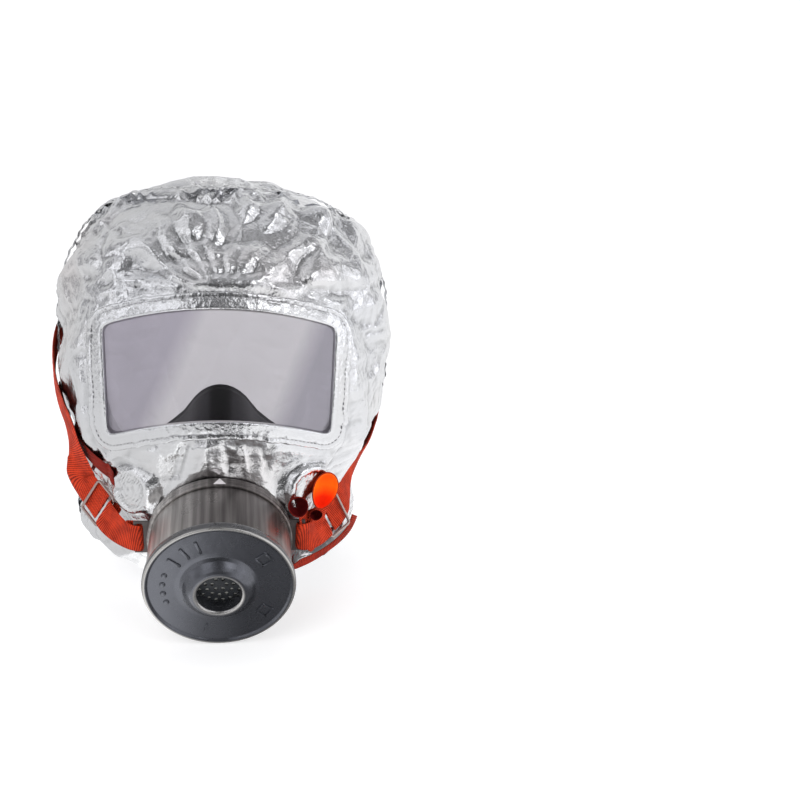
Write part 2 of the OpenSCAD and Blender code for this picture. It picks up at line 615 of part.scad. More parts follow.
// From the yoke lug to a loop round the inner bar of the ring, twisting on the
// way from the port's up direction to the bar's.
module short_strap(i) color(orange) {
  side = i == 0 ? -1 : 1;
  bar = ring_x(i) * (ring_x(i) * port_up > 0 ? 1 : -1);
  controls = [on_port(side * 48.6, 0, 3.8), on_port(side * 57, 0, 6.2),
    in_ring(i, [0, -8, loop_r + 0.9]), in_ring(i, [0, -1.6, loop_r + 0.15])];
  n = 10;
  centres = [for (k = [0 : n]) bezier(controls, k / n)];
  ribbon([for (k = [0 : n])
    let (along = unit(centres[min(k + 1, n)] - centres[max(k - 1, 0)]),
         lean_to = unit(mix(port_up, bar, smooth(k / n))),
         across = unit(lean_to - (lean_to * along) * along),
         normal = cross(along, across))
    [centres[k], across, normal * (normal * ring_z(i) > 0 ? 1 : -1)]], web_w, web_t);
  ring_loop(i, bar_y = 0, dir = -1, leg = 3.6);
}

hood_face_panel();
hood_back_panel();
crown_seam_binding();
visor_pane();
visor_frame_strip();
visor_seal_strip();
neck_hem();
neck_elastic();
neck_seal_collar();
half_mask();
mask_face_lip();
mask_connector();
inhalation_seat();
inhalation_stud();
inhalation_flap();
exhalation_seat(-1);  // exhalation_seat_left
exhalation_seat(1);  // exhalation_seat_right
exhalation_flap(-1);  // exhalation_flap_left
exhalation_flap(1);  // exhalation_flap_right
exhalation_cover(-1);  // exhalation_cover_left
exhalation_cover(1);  // exhalation_cover_right
harness_yoke();
clamp_ring();
index_mark();
canister_shell();
canister_lid();
lid_marks();
intake_grille();
dust_felt();
particulate_filter();
bed_screens();
desiccant_bed();
catalyst_bed();
carbon_bed();
bed_spring();
canister_rear_plate();
canister_gasket();
short_strap(0);  // short_strap_left
short_strap(1);  // short_strap_right
wire_ring(0);  // wire_ring_left
wire_ring(1);  // wire_ring_right
strap_loop(0);  // strap_loop_left
strap_loop(1);  // strap_loop_right
head_strap(0);  // head_strap_left
head_strap(1);  // head_strap_right
strap_joint_patch();
strap_tail_left();
strap_tail_right();
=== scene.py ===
"""Smoke hood of aluminised cloth with a window, half mask, filter canister and red harness.

The wearer faces -Y and +Z is up. Pieces called left lie at -X, pieces called right at +X.
Shapes are worked out in millimetres and become metres when a mesh is made.

Two frames are used beside the plain axes:
  hood frame   an angle round the hood (0 at the front, positive towards +X) and a station
               number that rises from the neck hem (0) to the crown (TOP)
  port frame   origin at the breathing port, x sideways, y up its plane, z out along its axis
"""
import bmesh
import bpy
import itertools
import math
import numpy as np
from collections import namedtuple
from mathutils import Vector, Matrix


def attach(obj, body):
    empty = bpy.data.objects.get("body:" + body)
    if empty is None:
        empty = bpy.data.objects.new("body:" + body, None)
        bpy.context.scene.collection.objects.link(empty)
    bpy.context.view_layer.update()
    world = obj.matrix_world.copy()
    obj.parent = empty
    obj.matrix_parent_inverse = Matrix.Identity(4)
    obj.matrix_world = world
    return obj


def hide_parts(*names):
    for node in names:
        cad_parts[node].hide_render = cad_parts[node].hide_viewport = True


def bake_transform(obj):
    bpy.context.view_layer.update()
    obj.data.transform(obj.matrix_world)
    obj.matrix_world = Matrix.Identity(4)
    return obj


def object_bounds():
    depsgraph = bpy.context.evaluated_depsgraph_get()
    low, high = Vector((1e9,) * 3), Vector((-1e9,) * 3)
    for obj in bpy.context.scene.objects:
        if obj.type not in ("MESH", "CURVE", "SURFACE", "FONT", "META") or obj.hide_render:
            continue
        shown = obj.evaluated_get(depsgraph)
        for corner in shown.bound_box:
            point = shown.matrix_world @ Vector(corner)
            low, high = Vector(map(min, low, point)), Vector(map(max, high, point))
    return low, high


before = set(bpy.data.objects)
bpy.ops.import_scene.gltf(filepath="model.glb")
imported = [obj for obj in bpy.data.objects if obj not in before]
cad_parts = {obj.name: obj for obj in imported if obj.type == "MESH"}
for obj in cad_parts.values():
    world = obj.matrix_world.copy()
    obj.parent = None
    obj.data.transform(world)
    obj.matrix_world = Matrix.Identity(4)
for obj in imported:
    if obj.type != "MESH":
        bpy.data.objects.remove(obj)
cad_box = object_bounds()
MM = 0.001          # metres in a millimetre


# ------------------------------------------------------------------ maths
def unit(vectors):
    vectors = np.asarray(vectors, float)
    return vectors / np.maximum(np.linalg.norm(vectors, axis=-1, keepdims=True), 1e-12)


def smoothstep(x):
    x = np.clip(x, 0, 1)
    return x * x * (3 - 2 * x)


def blend(first, second, share):
    return np.asarray(first, float) * (1 - share) + np.asarray(second, float) * share


def triangle_wave(x):
    """Zigzag of period 1 between -1 and 1."""
    return 4 * np.abs(x - np.floor(x) - 0.5) - 1


def run_length(points):
    """Length along a polyline at each of its points."""
    steps = np.linalg.norm(np.diff(points, axis=0), axis=1)
    return np.concatenate([[0], np.cumsum(steps)])


def resample(places, run, points):
    """Points of a polyline at given lengths along it."""
    return np.stack([np.interp(places, run, column) for column in points.T], -1)


def catmull_rom(rows, places):
    """Catmull-Rom curve through the rows, at places 0 to len-1."""
    rows = np.asarray(rows, float)
    places = np.clip(np.asarray(places, float), 0, len(rows) - 1 - 1e-9)
    i = np.floor(places).astype(int)
    f = (places - i)[..., None]
    before, start = rows[np.maximum(i - 1, 0)], rows[i]
    end, after = rows[i + 1], rows[np.minimum(i + 2, len(rows) - 1)]
    cube, square = f ** 3, f ** 2
    return ((2 * cube - 3 * square + 1) * start + (cube - 2 * square + f) * (end - before) / 2
            + (3 * square - 2 * cube) * end + (cube - square) * (after - start) / 2)


def bezier(points, share):
    p0, p1, p2, p3 = points
    rest = 1 - share
    return (rest ** 3 * p0 + 3 * rest * rest * share * p1
            + 3 * rest * share * share * p2 + share ** 3 * p3)


def lattice_hash(cells, seed):
    """A repeatable number in 0..1 for each lattice cell."""
    x, y, z = cells.T
    h = (x * 73856093) ^ (y * 19349663) ^ (z * 83492791) ^ (seed * 2654435761)
    h &= 0xFFFFFFFF
    h = (h ^ (h >> 15)) * 2246822519 & 0xFFFFFFFF
    h = (h ^ (h >> 13)) * 3266489917 & 0xFFFFFFFF
    h = h ^ (h >> 16)
    return h / 4294967295.0


def value_noise(points, cell, seed):
    """Smooth noise, -1..1."""
    scaled = np.asarray(points, float) / cell
    corner = np.floor(scaled).astype(np.int64)
    part = scaled - corner
    part = part * part * (3 - 2 * part)
    total = np.zeros(len(scaled))
    for step in itertools.product((0, 1), repeat=3):
        weight = np.where(step, part, 1 - part)
        value = lattice_hash(corner + np.array(step), seed)
        total += value * (weight[:, 0] * weight[:, 1] * weight[:, 2])
    return total * 2 - 1


def nearest_on(points, line):
    """Distance of points to a polyline, and the place along it (0..1)."""
    best = np.full(len(points), 1e9)
    place = np.zeros(len(points))
    run = run_length(line)
    for i in range(len(line) - 1):
        start = line[i]
        span = line[i + 1] - start
        share = np.clip(((points - start) @ span) / (span @ span), 0, 1)
        distance = np.linalg.norm(points - start - share[:, None] * span, axis=1)
        nearer = distance < best
        best[nearer] = distance[nearer]
        place[nearer] = (run[i] + share[nearer] * (run[i + 1] - run[i])) / run[-1]
    return best, place


# ------------------------------------------------------------------ hood surface
# One row per station: front y, front z, half width, side y, side z, back y, back z
STATIONS = np.array([
    [-74, 22, 74, 0, 22, 74, 22],
    [-82, 21.5, 80, 0, 21, 82, 21.5],
    [-89.5, 31, 89, 0, 30, 90, 31],
    [-97, 45, 96, 0, 43, 94, 46],
    [-103.5, 64, 93, 0, 60, 92, 64],
    [-109, 81, 91, 0, 76, 92, 81],
    [-115, 99, 97, 0, 94, 96, 101],
    [-118.5, 116, 105, 0, 113, 101, 123],
    [-117.5, 134, 110, 0, 136, 105, 148],
    [-109, 167, 110.5, -2, 166, 106, 179],
    [-98, 200, 108, -5, 196, 101, 209],
    [-86, 224, 99, -9, 221, 90, 234],
    [-70, 245, 82, -15, 244, 66, 255],
    [-50, 258, 49, -22, 259.5, 30, 266],
    [-30, 263.5, 0, -30, 263.5, -30, 263.5]], float)
TOP = len(STATIONS) - 1
CROWN = np.array([0, -30, 263.5])

# Breathing port: centre, outward axis and the upward direction in its plane
PORT_TILT = math.radians(18.3)
PORT = np.array([0, -102, 58.6])
PORT_OUT = np.array([0, -math.cos(PORT_TILT), -math.sin(PORT_TILT)])
PORT_UP = np.array([0, -math.sin(PORT_TILT), math.cos(PORT_TILT)])

# Exhalation valves: (centre, outward axis), right then left; the cloth rises on a pad at each
VALVE_TURN, VALVE_DIP = math.radians(33), math.radians(4)
VALVE_PAD = 5
VALVES = [(np.array([50.5, -94.5, 87.0]) * np.array([side, 1, 1]),
           np.array([side * math.sin(VALVE_TURN) * math.cos(VALVE_DIP),
                     -math.cos(VALVE_TURN) * math.cos(VALVE_DIP), -math.sin(VALVE_DIP)]))
          for side in (1, -1)]


def port_offset(points):
    """Height along the port axis and radius about it."""
    offset = points - PORT
    height = offset @ PORT_OUT
    return height, np.sqrt(np.maximum((offset ** 2).sum(-1) - height ** 2, 0))


def hood(angle, station):
    """Points of the smooth hood."""
    angle, station = np.broadcast_arrays(np.asarray(angle, float), np.asarray(station, float))
    front_y, front_z, half_width, side_y, side_z, back_y, back_z = np.moveaxis(
        catmull_rom(STATIONS, station), -1, 0)
    c, s = np.cos(angle), np.sin(angle)
    front = c >= -1e-9
    y = np.where(front, side_y + (front_y - side_y) * c, side_y - (back_y - side_y) * c)
    z = side_z + (np.where(front, front_z, back_z) - side_z) * c * c
    # the hood is a little narrower high on the left and low on the right
    left = 0.045 * smoothstep((station - 6) / 1.5) * smoothstep((13.2 - station) / 1.6)
    right = 0.065 * smoothstep(station / 1.4) * smoothstep((6.2 - station) / 1.8)
    points = np.stack([half_width * s * (1 - s * s * np.where(s < 0, left, right)), y, z], -1)
    # flat round the port
    height, radius = port_offset(points)
    flat = np.where(front, 1 - smoothstep((radius - 36) / 24), 0)
    points = points - (flat * height)[..., None] * PORT_OUT
    for centre, axis in VALVES:
        distance = np.linalg.norm(points - centre, axis=-1)
        points = points + (VALVE_PAD * (1 - smoothstep((distance - 14) / 9)))[..., None] * axis
    return points


def hood_normal(angle, station):
    station = np.minimum(np.asarray(station, float), TOP - 0.06)
    round_hood = hood(np.asarray(angle) + 0.008, station) - hood(np.asarray(angle) - 0.008, station)
    upward = hood(angle, station + 0.02) - hood(angle, np.maximum(station - 0.02, 0))
    return unit(np.cross(round_hood, upward))


def on_port(x, y, z):
    x, y, z = np.broadcast_arrays(*(np.asarray(v, float) for v in (x, y, z)))
    across = np.array([1.0, 0, 0])
    return PORT + x[..., None] * across + y[..., None] * PORT_UP + z[..., None] * PORT_OUT


# Window outline in the tilted window plane: x sideways, v up the plane from WINDOW_Z
WINDOW_TILT = math.radians(12)
WINDOW_Z = 161.0
WINDOW_HALF = 71.0          # half width at the top corners
WINDOW_TOP, WINDOW_BOTTOM = 7.5, -60.0          # v of the corners
WINDOW_ARC = 10.0           # rise of both long edges at the middle
BOTTOM_SHARE = 0.955        # bottom width over top width


def window_plane(points):
    return points[..., 0], ((points[..., 2] - WINDOW_Z) * math.cos(WINDOW_TILT)
                            + points[..., 1] * math.sin(WINDOW_TILT))


def window_arc(x):
    return WINDOW_ARC * (1 - (x / WINDOW_HALF) ** 2)


def width_share(height):
    """Window width over its top width, from 0 at the bottom to 1 at the top."""
    return BOTTOM_SHARE + (1 - BOTTOM_SHARE) * height


def window_distance(points):
    """Distance outside the outline in the window plane, negative inside, 999 at the back."""
    x, v = window_plane(points)
    arc = window_arc(x)
    ends = np.maximum(v - (WINDOW_TOP + arc), (WINDOW_BOTTOM + arc) - v)
    height = np.clip((v - WINDOW_BOTTOM) / (WINDOW_TOP - WINDOW_BOTTOM), 0, 1)
    sides = np.abs(x) - WINDOW_HALF * width_share(height)
    inside = np.maximum(ends, sides)
    outside = np.sqrt(np.maximum(sides, 0) ** 2 + np.maximum(ends, 0) ** 2)
    return np.where(points[..., 1] < -20, np.where(inside > 0, outside, inside), 999.0)


def window_to_hood(x, v):
    """Angle and station of window-plane points, by Newton's method."""
    x, v = np.asarray(x, float), np.asarray(v, float)
    angle = np.arcsin(np.clip(x / 110, -0.95, 0.95))
    station = 9.4 + v / 33
    step = 1e-3
    for _ in range(14):
        x0, v0 = window_plane(hood(angle, station))
        x1, v1 = window_plane(hood(angle + step, station))
        x2, v2 = window_plane(hood(angle, station + step))
        a, b, c, d = (x1 - x0) / step, (x2 - x0) / step, (v1 - v0) / step, (v2 - v0) / step
        det = a * d - b * c
        miss_x, miss_v = x - x0, v - v0
        angle = angle + np.clip((d * miss_x - b * miss_v) / det, -0.3, 0.3)
        move = np.clip((-c * miss_x + a * miss_v) / det, -1.0, 1.0)
        station = np.clip(station + move, 4.5, 13)
    return angle, station


# ------------------------------------------------------------------ meshes
def make_object(name, points, faces, material):
    """Smooth-shaded mesh from points in millimetres."""
    mesh = bpy.data.meshes.new(name)
    points = np.asarray(points, float) * MM
    mesh.from_pydata(points.tolist(), [], [list(map(int, face)) for face in faces])
    mesh.update()
    mesh.polygons.foreach_set("use_smooth", [True] * len(mesh.polygons))
    made = bpy.data.objects.new(name, mesh)
    bpy.context.scene.collection.objects.link(made)
    mesh.materials.append(material)
    return made


def fix_normals(piece):
    bm = bmesh.new()
    bm.from_mesh(piece.data)
    bmesh.ops.recalc_face_normals(bm, faces=bm.faces)
    bm.to_mesh(piece.data)
    bm.free()


def make_solid(name, points, faces, material):
    piece = make_object(name, points, faces, material)
    fix_normals(piece)
    return piece


def register(piece, slot, *replaced, body="hood"):
    if replaced:
        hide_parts(*replaced)
    if body:
        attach(piece, body)


def sharpen(piece, angle=38):
    """Smooth shading with sharp edges above an angle in degrees."""
    mesh = piece.data
    mesh.polygons.foreach_set("use_smooth", [True] * len(mesh.polygons))
    bm = bmesh.new()
    bm.from_mesh(mesh)
    for edge in bm.edges:
        if len(edge.link_faces) == 2 and edge.calc_face_angle(0) > math.radians(angle):
            edge.smooth = False
    bm.to_mesh(mesh)
    bm.free()


def add_flat_coordinates(piece, pairs):
    """Per-vertex (along, across) in millimetres, read by the webbing materials."""
    attribute = piece.data.attributes.new("strap_uv", "FLOAT_VECTOR", "POINT")
    flat = np.zeros((len(piece.data.vertices), 3), np.float32)
    flat[:, :2] = pairs
    attribute.data.foreach_set("vector", flat.ravel())


def grid_faces(rows, columns, wrap=False, wrap_rows=False, base=0, flip=False):
    faces = []
    for i in range(rows if wrap_rows else rows - 1):
        here, above = base + i * columns, base + (i + 1) % rows * columns
        for j in range(columns if wrap else columns - 1):
            k = (j + 1) % columns
            face = (here + j, here + k, above + k, above + j)
            faces.append(face[::-1] if flip else face)
    return faces


def tube_faces(rows, columns, base=0):
    """Rings of points joined into a tube with closed ends."""
    first, last = range(base, base + columns), base + (rows - 1) * columns
    return (grid_faces(rows, columns, wrap=True, base=base)
            + [tuple(first)[::-1], tuple(range(last, last + columns))])


def make_tubes(name, parts, material):
    """One mesh of closed tubes, each an array of (rings, points in a ring, 3)."""
    faces, base = [], 0
    for part in parts:
        rows, columns = part.shape[:2]
        faces += tube_faces(rows, columns, base)
        base += rows * columns
    return make_solid(name, np.concatenate([p.reshape(-1, 3) for p in parts]), faces, material)


def lathe(name, profile, material, segments):
    """Closed ring solid from (radius, z) points in the port frame."""
    profile = np.asarray(profile, float)
    turn = np.arange(segments) * 2 * math.pi / segments
    radius, z = profile[:, :1], profile[:, 1:]
    points = on_port(radius * np.cos(turn), radius * np.sin(turn), z).reshape(-1, 3)
    faces = grid_faces(len(profile), segments, wrap=True, wrap_rows=True)
    piece = make_solid(name, points, faces, material)
    sharpen(piece)
    return piece


def soft_round(points, radius, steps=3):
    """Rounds the corners of a closed (radius, z) profile."""
    points = np.asarray(points, float)
    out = []
    for i, corner in enumerate(points):
        back, ahead = points[i - 1] - corner, points[(i + 1) % len(points)] - corner
        back_length, ahead_length = np.linalg.norm(back), np.linalg.norm(ahead)
        cut = min(radius, 0.42 * back_length, 0.42 * ahead_length)
        start, end = corner + back / back_length * cut, corner + ahead / ahead_length * cut
        for j in range(steps + 1):
            s = j / steps
            out.append((1 - s) ** 2 * start + 2 * s * (1 - s) * corner + s * s * end)
    return out


def rounded_rectangle(low_x, high_x, low_y, high_y, radius, steps):
    """Outline points, anticlockwise from the right side."""
    points = []
    for x, y, start in ((high_x - radius, high_y - radius, 0), (low_x + radius, high_y - radius, 90),
                        (low_x + radius, low_y + radius, 180), (high_x - radius, low_y + radius, 270)):
        for k in range(steps + 1):
            a = math.radians(start + 90 * k / steps)
            points.append((x + radius * math.cos(a), y + radius * math.sin(a)))
    return np.array(points)


def wire_loop(name, path, radius, material, segments=14):
    """Round wire along a closed path."""
    path = np.asarray(path, float)
    tangents = unit(np.roll(path, -1, 0) - np.roll(path, 1, 0))
    points = []
    x = unit(np.cross(tangents[0], np.array([0.3, 0.2, 0.93])))
    for centre, tangent in zip(path, tangents):
        x = unit(x - tangent * (x @ tangent))
        y = np.cross(tangent, x)
        for k in range(segments):
            a = 2 * math.pi * k / segments
            points.append(centre + radius * (x * math.cos(a) + y * math.sin(a)))
    faces = grid_faces(len(path), segments, wrap=True, wrap_rows=True)
    return make_solid(name, points, faces, material)


def band_edge(columns, power):
    """Places across a band (-0.5..0.5) and the share of full thickness at each."""
    x = np.linspace(-0.5, 0.5, columns)
    return x, np.sqrt(np.clip(1 - (np.abs(x) * 2) ** power, 0, 1))


def band(name, centres, across, normals, run, width, top, bottom, material):
    """Closed flat band; top and bottom are heights by station and column."""
    x = (np.linspace(-0.5, 0.5, top.shape[1])
         * np.broadcast_to(width, len(centres)).astype(float)[:, None])

    def face(height):
        return (centres[:, None] + across[:, None] * x[..., None]
                + normals[:, None] * height[..., None])
    points = np.concatenate([face(top), face(bottom)[:, ::-1]], axis=1)
    piece = make_tubes(name, [points], material)
    both = np.concatenate([x, x[:, ::-1]], axis=1)
    along = np.broadcast_to(run[:, None], both.shape)
    add_flat_coordinates(piece, np.stack([along, both], -1).reshape(-1, 2))
    return piece


# ------------------------------------------------------------------ shader helper
class Shader:
    """Adds nodes to one tree. Settings and inputs go by name, with _ for a space."""

    def __init__(self, tree):
        self.tree = tree
        self.surface = tree.nodes.get("Principled BSDF")

    def feed(self, socket, value):
        if isinstance(value, bpy.types.NodeSocket):
            self.tree.links.new(value, socket)
        else:
            socket.default_value = value

    def node(self, kind, **values):
        added = self.tree.nodes.new("ShaderNode" + kind)
        for name, value in values.items():
            if hasattr(added, name):
                setattr(added, name, value)
            else:
                self.feed(added.inputs[name.replace("_", " ")], value)
        return added

    def set(self, **values):
        """Sets or links inputs of the Principled node."""
        for name, value in values.items():
            self.feed(self.surface.inputs[name.replace("_", " ")], value)

    def operate(self, kind, operation, *values):
        added = self.node(kind, operation=operation)
        for socket, value in zip(added.inputs, values):
            self.feed(socket, value)
        return added

    def math(self, operation, *values):
        return self.operate("Math", operation, *values).outputs[0]

    def vector_number(self, operation, *values):
        """Vector operation that gives a number."""
        return self.operate("VectorMath", operation, *values).outputs["Value"]

    def coordinates(self):
        """Object coordinates in millimetres."""
        source = self.node("TexCoord").outputs["Object"]
        return self.node("Mapping", Vector=source, Scale=(1 / MM,) * 3).outputs["Vector"]

    def separate(self, vector):
        return self.node("SeparateXYZ", Vector=vector).outputs

    def noise(self, place, **values):
        return self.node("TexNoise", Vector=place, **values).outputs["Fac"]

    def cells(self, place, **values):
        return self.node("TexVoronoi", Vector=place, **values).outputs["Distance"]

    def map_range(self, value, low, high, **values):
        return self.node("MapRange", Value=value, From_Min=low, From_Max=high,
                         **values).outputs["Result"]

    def ramp(self, factor, *stops):
        """Colour ramp from (position, colour or grey level) stops."""
        added = self.node("ValToRGB")
        elements = added.color_ramp.elements
        while len(elements) < len(stops):
            elements.new(0.5)
        for i, (position, colour) in enumerate(stops):
            elements[i].position = position
            elements[i].color = (*np.broadcast_to(colour, 3), 1)
        self.tree.links.new(factor, added.inputs[0])
        return added.outputs[0]

    def bump(self, height, strength, distance, normal=None):
        added = self.node("Bump", Strength=strength, Distance=distance, Height=height)
        if normal is not None:
            self.feed(added.inputs["Normal"], normal)
        return added.outputs["Normal"]

    def mix_numbers(self, factor, first, second):
        added = self.node("Mix", data_type="FLOAT")
        for index, value in ((0, factor), (2, first), (3, second)):
            self.feed(added.inputs[index], value)
        return added.outputs[0]

    def mix_colours(self, factor, first, second, **settings):
        added = self.node("Mix", data_type="RGBA", **settings)
        for index, value in ((0, factor), (6, first), (7, second)):
            self.feed(added.inputs[index], value)
        return added.outputs[2]

    def mix_shaders(self, factor, first, second):
        added = self.node("MixShader")
        for socket, value in zip(added.inputs, (factor, first, second)):
            self.feed(socket, value)
        return added.outputs[0]


def new_material(name, colour, roughness, metallic=0.0):
    material = bpy.data.materials.new(name)
    material.use_nodes = True
    shader = Shader(material.node_tree)
    shader.set(Base_Color=(*colour, 1), Roughness=roughness, Metallic=metallic)
    return material, shader


# ------------------------------------------------------------------ materials
def foil_material():
    """Bright metal cloth: fine crumple, patchy gloss and tone, painted shade in the creases."""
    material, shader = new_material("aluminised_cloth", (0.88, 0.885, 0.895), 0.24, 1.0)
    place = shader.coordinates()
    normal = None
    for scale, strength, distance in ((1 / 4.6, 0.40, 0.0006), (1 / 1.9, 0.34, 0.0003)):
        facets = shader.cells(place, feature="F1", Scale=scale, Randomness=1.0)
        creases = shader.cells(place, feature="DISTANCE_TO_EDGE", Scale=scale * 0.8,
                               Randomness=1.0)
        height = shader.math("SUBTRACT", facets, creases)
        normal = shader.bump(height, strength, distance, normal)
    grain = shader.noise(place, Scale=0.9, Detail=6.0, Roughness=0.6)
    shader.set(Normal=shader.bump(grain, 0.22, 0.0004, normal))
    patches = shader.noise(place, Scale=0.03, Detail=4.0)
    shader.set(Roughness=shader.ramp(patches, (0.3, 0.15), (0.75, 0.27)))
    tone = shader.ramp(shader.noise(place, Scale=0.015, Detail=3.0), (0.3, (0.84, 0.85, 0.875)),
                       (0.55, (0.87, 0.875, 0.885)), (0.8, (0.90, 0.865, 0.86)))
    # painted shade: the base colour is darkened in concave creases, found from pointiness
    painted_crease_shade = shader.ramp(shader.node("NewGeometry").outputs["Pointiness"],
                          (0.44, 0.30), (0.485, 0.80), (0.505, 0.97), (0.55, 1.0))
    shader.set(Base_Color=shader.mix_colours(1.0, tone, painted_crease_shade, blend_type="MULTIPLY"))
    return material


def lining_material():
    """Pale inner side of the cloth, faintly glowing to stand for light from outside."""
    material, shader = new_material("hood_lining_cloth", (0.80, 0.80, 0.82), 0.8)
    wave = shader.node("TexWave", Vector=shader.coordinates(), Scale=0.9, Distortion=0.5)
    shader.set(Normal=shader.bump(wave.outputs["Fac"], 0.2, 0.0003),
               Emission_Color=(0.74, 0.735, 0.75, 1), Emission_Strength=0.46)
    return material


def web_material(name, dark, light):
    """Ribbed webbing; ribs and cords follow the flat coordinates of the band."""
    material, shader = new_material(name, light, 0.62)
    flat = shader.separate(shader.node("Attribute", attribute_name="strap_uv").outputs["Vector"])

    def wave(main, other, period, skew):
        phase = shader.math("MULTIPLY", flat[main], 2 * math.pi / period)
        shift = shader.math("MULTIPLY", flat[other], skew)
        return shader.math("SINE", shader.math("ADD", phase, shift))
    ribs = wave("X", "Y", period=1.35, skew=1.1)
    cords = wave("Y", "X", period=1.1, skew=0.4)
    relief = shader.math("ADD", ribs, shader.math("MULTIPLY", ribs, cords))
    relief = shader.map_range(relief, -2, 2)
    wear = shader.noise(shader.coordinates(), Scale=0.12, Detail=4.0)
    shader.set(
        Base_Color=shader.ramp(shader.mix_numbers(0.45, relief, wear), (0.30, dark),
                               (0.5, blend(dark, light, 0.6)), (0.64, light)),
        Normal=shader.bump(relief, 0.6, 0.0005), Specular_IOR_Level=0.10,
        Sheen_Weight=0.02, Sheen_Roughness=0.4)
    return material


def plain_material(name, colour, roughness, coat=0.0, bump=0.05, scale=0.35, **extra):
    """Moulded or woven stuff: one colour with slight grain and uneven gloss."""
    material, shader = new_material(name, colour, roughness)
    place = shader.coordinates()
    grain = shader.noise(place, Scale=scale, Detail=6.0)
    shader.set(Normal=shader.bump(grain, bump, 0.0003))
    patches = shader.noise(place, Scale=0.05, Detail=5.0)
    colour = np.array(colour)
    shader.set(
        Roughness=shader.ramp(patches, (0.3, max(roughness - 0.06, 0.02)), (0.7, roughness + 0.08)),
        Base_Color=shader.ramp(grain, (0.2, colour * 0.85), (0.8, np.minimum(colour * 1.15, 1))),
        Coat_Weight=coat, Coat_Roughness=0.12, **extra)
    return material


def grain_material(name, painted_gap_shade, grain, size):
    """Loose grains: their middles take the grain colour, and painted shade darkens them towards the
    gaps.
    """
    material, shader = new_material(name, painted_gap_shade, 0.8)
    distance = shader.cells(shader.coordinates(), Scale=1 / size)
    # painted shade: darker from each grain's middle out to the gaps
    shader.set(Base_Color=shader.ramp(distance, (0.1, grain), (0.7, painted_gap_shade)),
               Normal=shader.bump(distance, 0.8, 0.001))
    return material


def visor_material():
    """Clear film with slanting soft bands of painted reflection in its colour; its own shader drives
    the output.
    """
    material, shader = new_material("window_film", (0.62, 0.61, 0.63), 0.06)
    place = shader.separate(shader.node("TexCoord").outputs["Object"])
    # painted reflection: the film's colour is lighter in a slanting middle band and darker towards
    # both sides
    slant = shader.math("SUBTRACT", place["X"], shader.math("MULTIPLY", place["Z"], 0.42))
    painted_reflection_tint = shader.ramp(
        shader.map_range(slant, -0.135, -0.008),
        (0.0, (0.62, 0.605, 0.635)), (0.24, (0.63, 0.615, 0.645)), (0.36, (0.76, 0.75, 0.755)),
        (0.84, (0.76, 0.75, 0.755)), (0.97, (0.60, 0.59, 0.615)))
    clear = shader.node("BsdfTransparent", Color=painted_reflection_tint).outputs[0]
    gloss = shader.node("BsdfGlossy", Roughness=0.12).outputs[0]
    haze = shader.node("BsdfDiffuse", Color=(0.40, 0.395, 0.41, 1)).outputs[0]
    body = shader.mix_shaders(0.010, clear, haze)
    shine = shader.math("MULTIPLY", shader.node("Fresnel", IOR=1.35).outputs[0], 0.55)
    shader.feed(shader.tree.nodes["Material Output"].inputs["Surface"],
                shader.mix_shaders(shine, body, gloss))
    return material


def rubber_material():
    """Black moulded rubber, darker in the shadow of the nose bridge."""
    material, shader = new_material("mask_rubber", (0.016, 0.016, 0.019), 0.5)
    place = shader.coordinates()
    sideways = shader.math("ABSOLUTE", shader.separate(place)["X"])
    shade = shader.map_range(sideways, 4.5, 8.5, interpolation_type="SMOOTHSTEP")
    grain = shader.noise(place, Scale=0.5, Detail=4.0)
    shader.set(Base_Color=shader.ramp(shade, (0.0, (0.002, 0.002, 0.003)),
                                      (1.0, (0.034, 0.033, 0.038))),
               Normal=shader.bump(grain, 0.15, 0.0003), Specular_IOR_Level=0.25)
    return material


def smooth_side_painted_light_material():
    """Smooth inner face of the webbing with painted shade, red low in the curl and orange above, and a
    painted glow.
    """
    material, shader = new_material("webbing_smooth_side", (0.95, 0.14, 0.01), 0.7)
    place = shader.coordinates()
    height = shader.map_range(shader.separate(place)["Z"], 70, 96)
    grain = shader.noise(place, Scale=0.6, Detail=3.0)
    # painted shade: darker red low in the curl, orange higher up; the emission below is a painted glow
    colour = shader.ramp(height, (0.0, (0.55, 0.004, 0.002)), (0.42, (0.80, 0.03, 0.004)),
                         (0.70, (1.0, 0.17, 0.008)), (1.0, (0.95, 0.13, 0.01)))
    shader.set(Base_Color=colour, Emission_Color=colour, Emission_Strength=0.22,
               Specular_IOR_Level=0.08, Normal=shader.bump(grain, 0.06, 0.0003))
    return material


def lid_material():
    """Dark lacquered sheet metal, with painted highlights on the rolled rim and the lip of the intake.
    """
    material, shader = new_material("lacquered_lid", (0.15, 0.155, 0.17), 0.26, 0.9)
    place = shader.coordinates()
    # distance from the axis of the canister, 1 at 50 mm
    offset = shader.operate("VectorMath", "SUBTRACT", place, tuple(PORT)).outputs[0]
    along = shader.vector_number("DOT_PRODUCT", offset, tuple(PORT_OUT))
    away = shader.vector_number("LENGTH", offset)
    squares = shader.math("SUBTRACT", shader.math("POWER", away, 2),
                          shader.math("POWER", along, 2))
    radius = shader.math("DIVIDE", shader.math("SQRT", squares), 50.0)
    dark = (0.135, 0.140, 0.158)
    grain = shader.noise(place, Scale=0.12, Detail=5.0)
    dents = shader.noise(place, Scale=0.045, Detail=3.0)
    # painted highlights: bright rings at the lip of the intake and on the rolled rim
    shader.set(
        Base_Color=shader.ramp(
            radius, (0.0, dark), (0.262, dark), (0.27, (0.55, 0.54, 0.53)),
            (0.292, (0.50, 0.49, 0.48)), (0.31, dark), (0.862, dark), (0.878, (0.52, 0.51, 0.49)),
            (0.894, (0.58, 0.57, 0.55)), (0.900, (0.16, 0.16, 0.165)), (1.0, (0.12, 0.12, 0.125))),
        Roughness=shader.ramp(grain, (0.3, 0.22), (0.7, 0.33)),
        Normal=shader.bump(grain, 0.05, 0.0003, shader.bump(dents, 0.35, 0.002)))
    return material


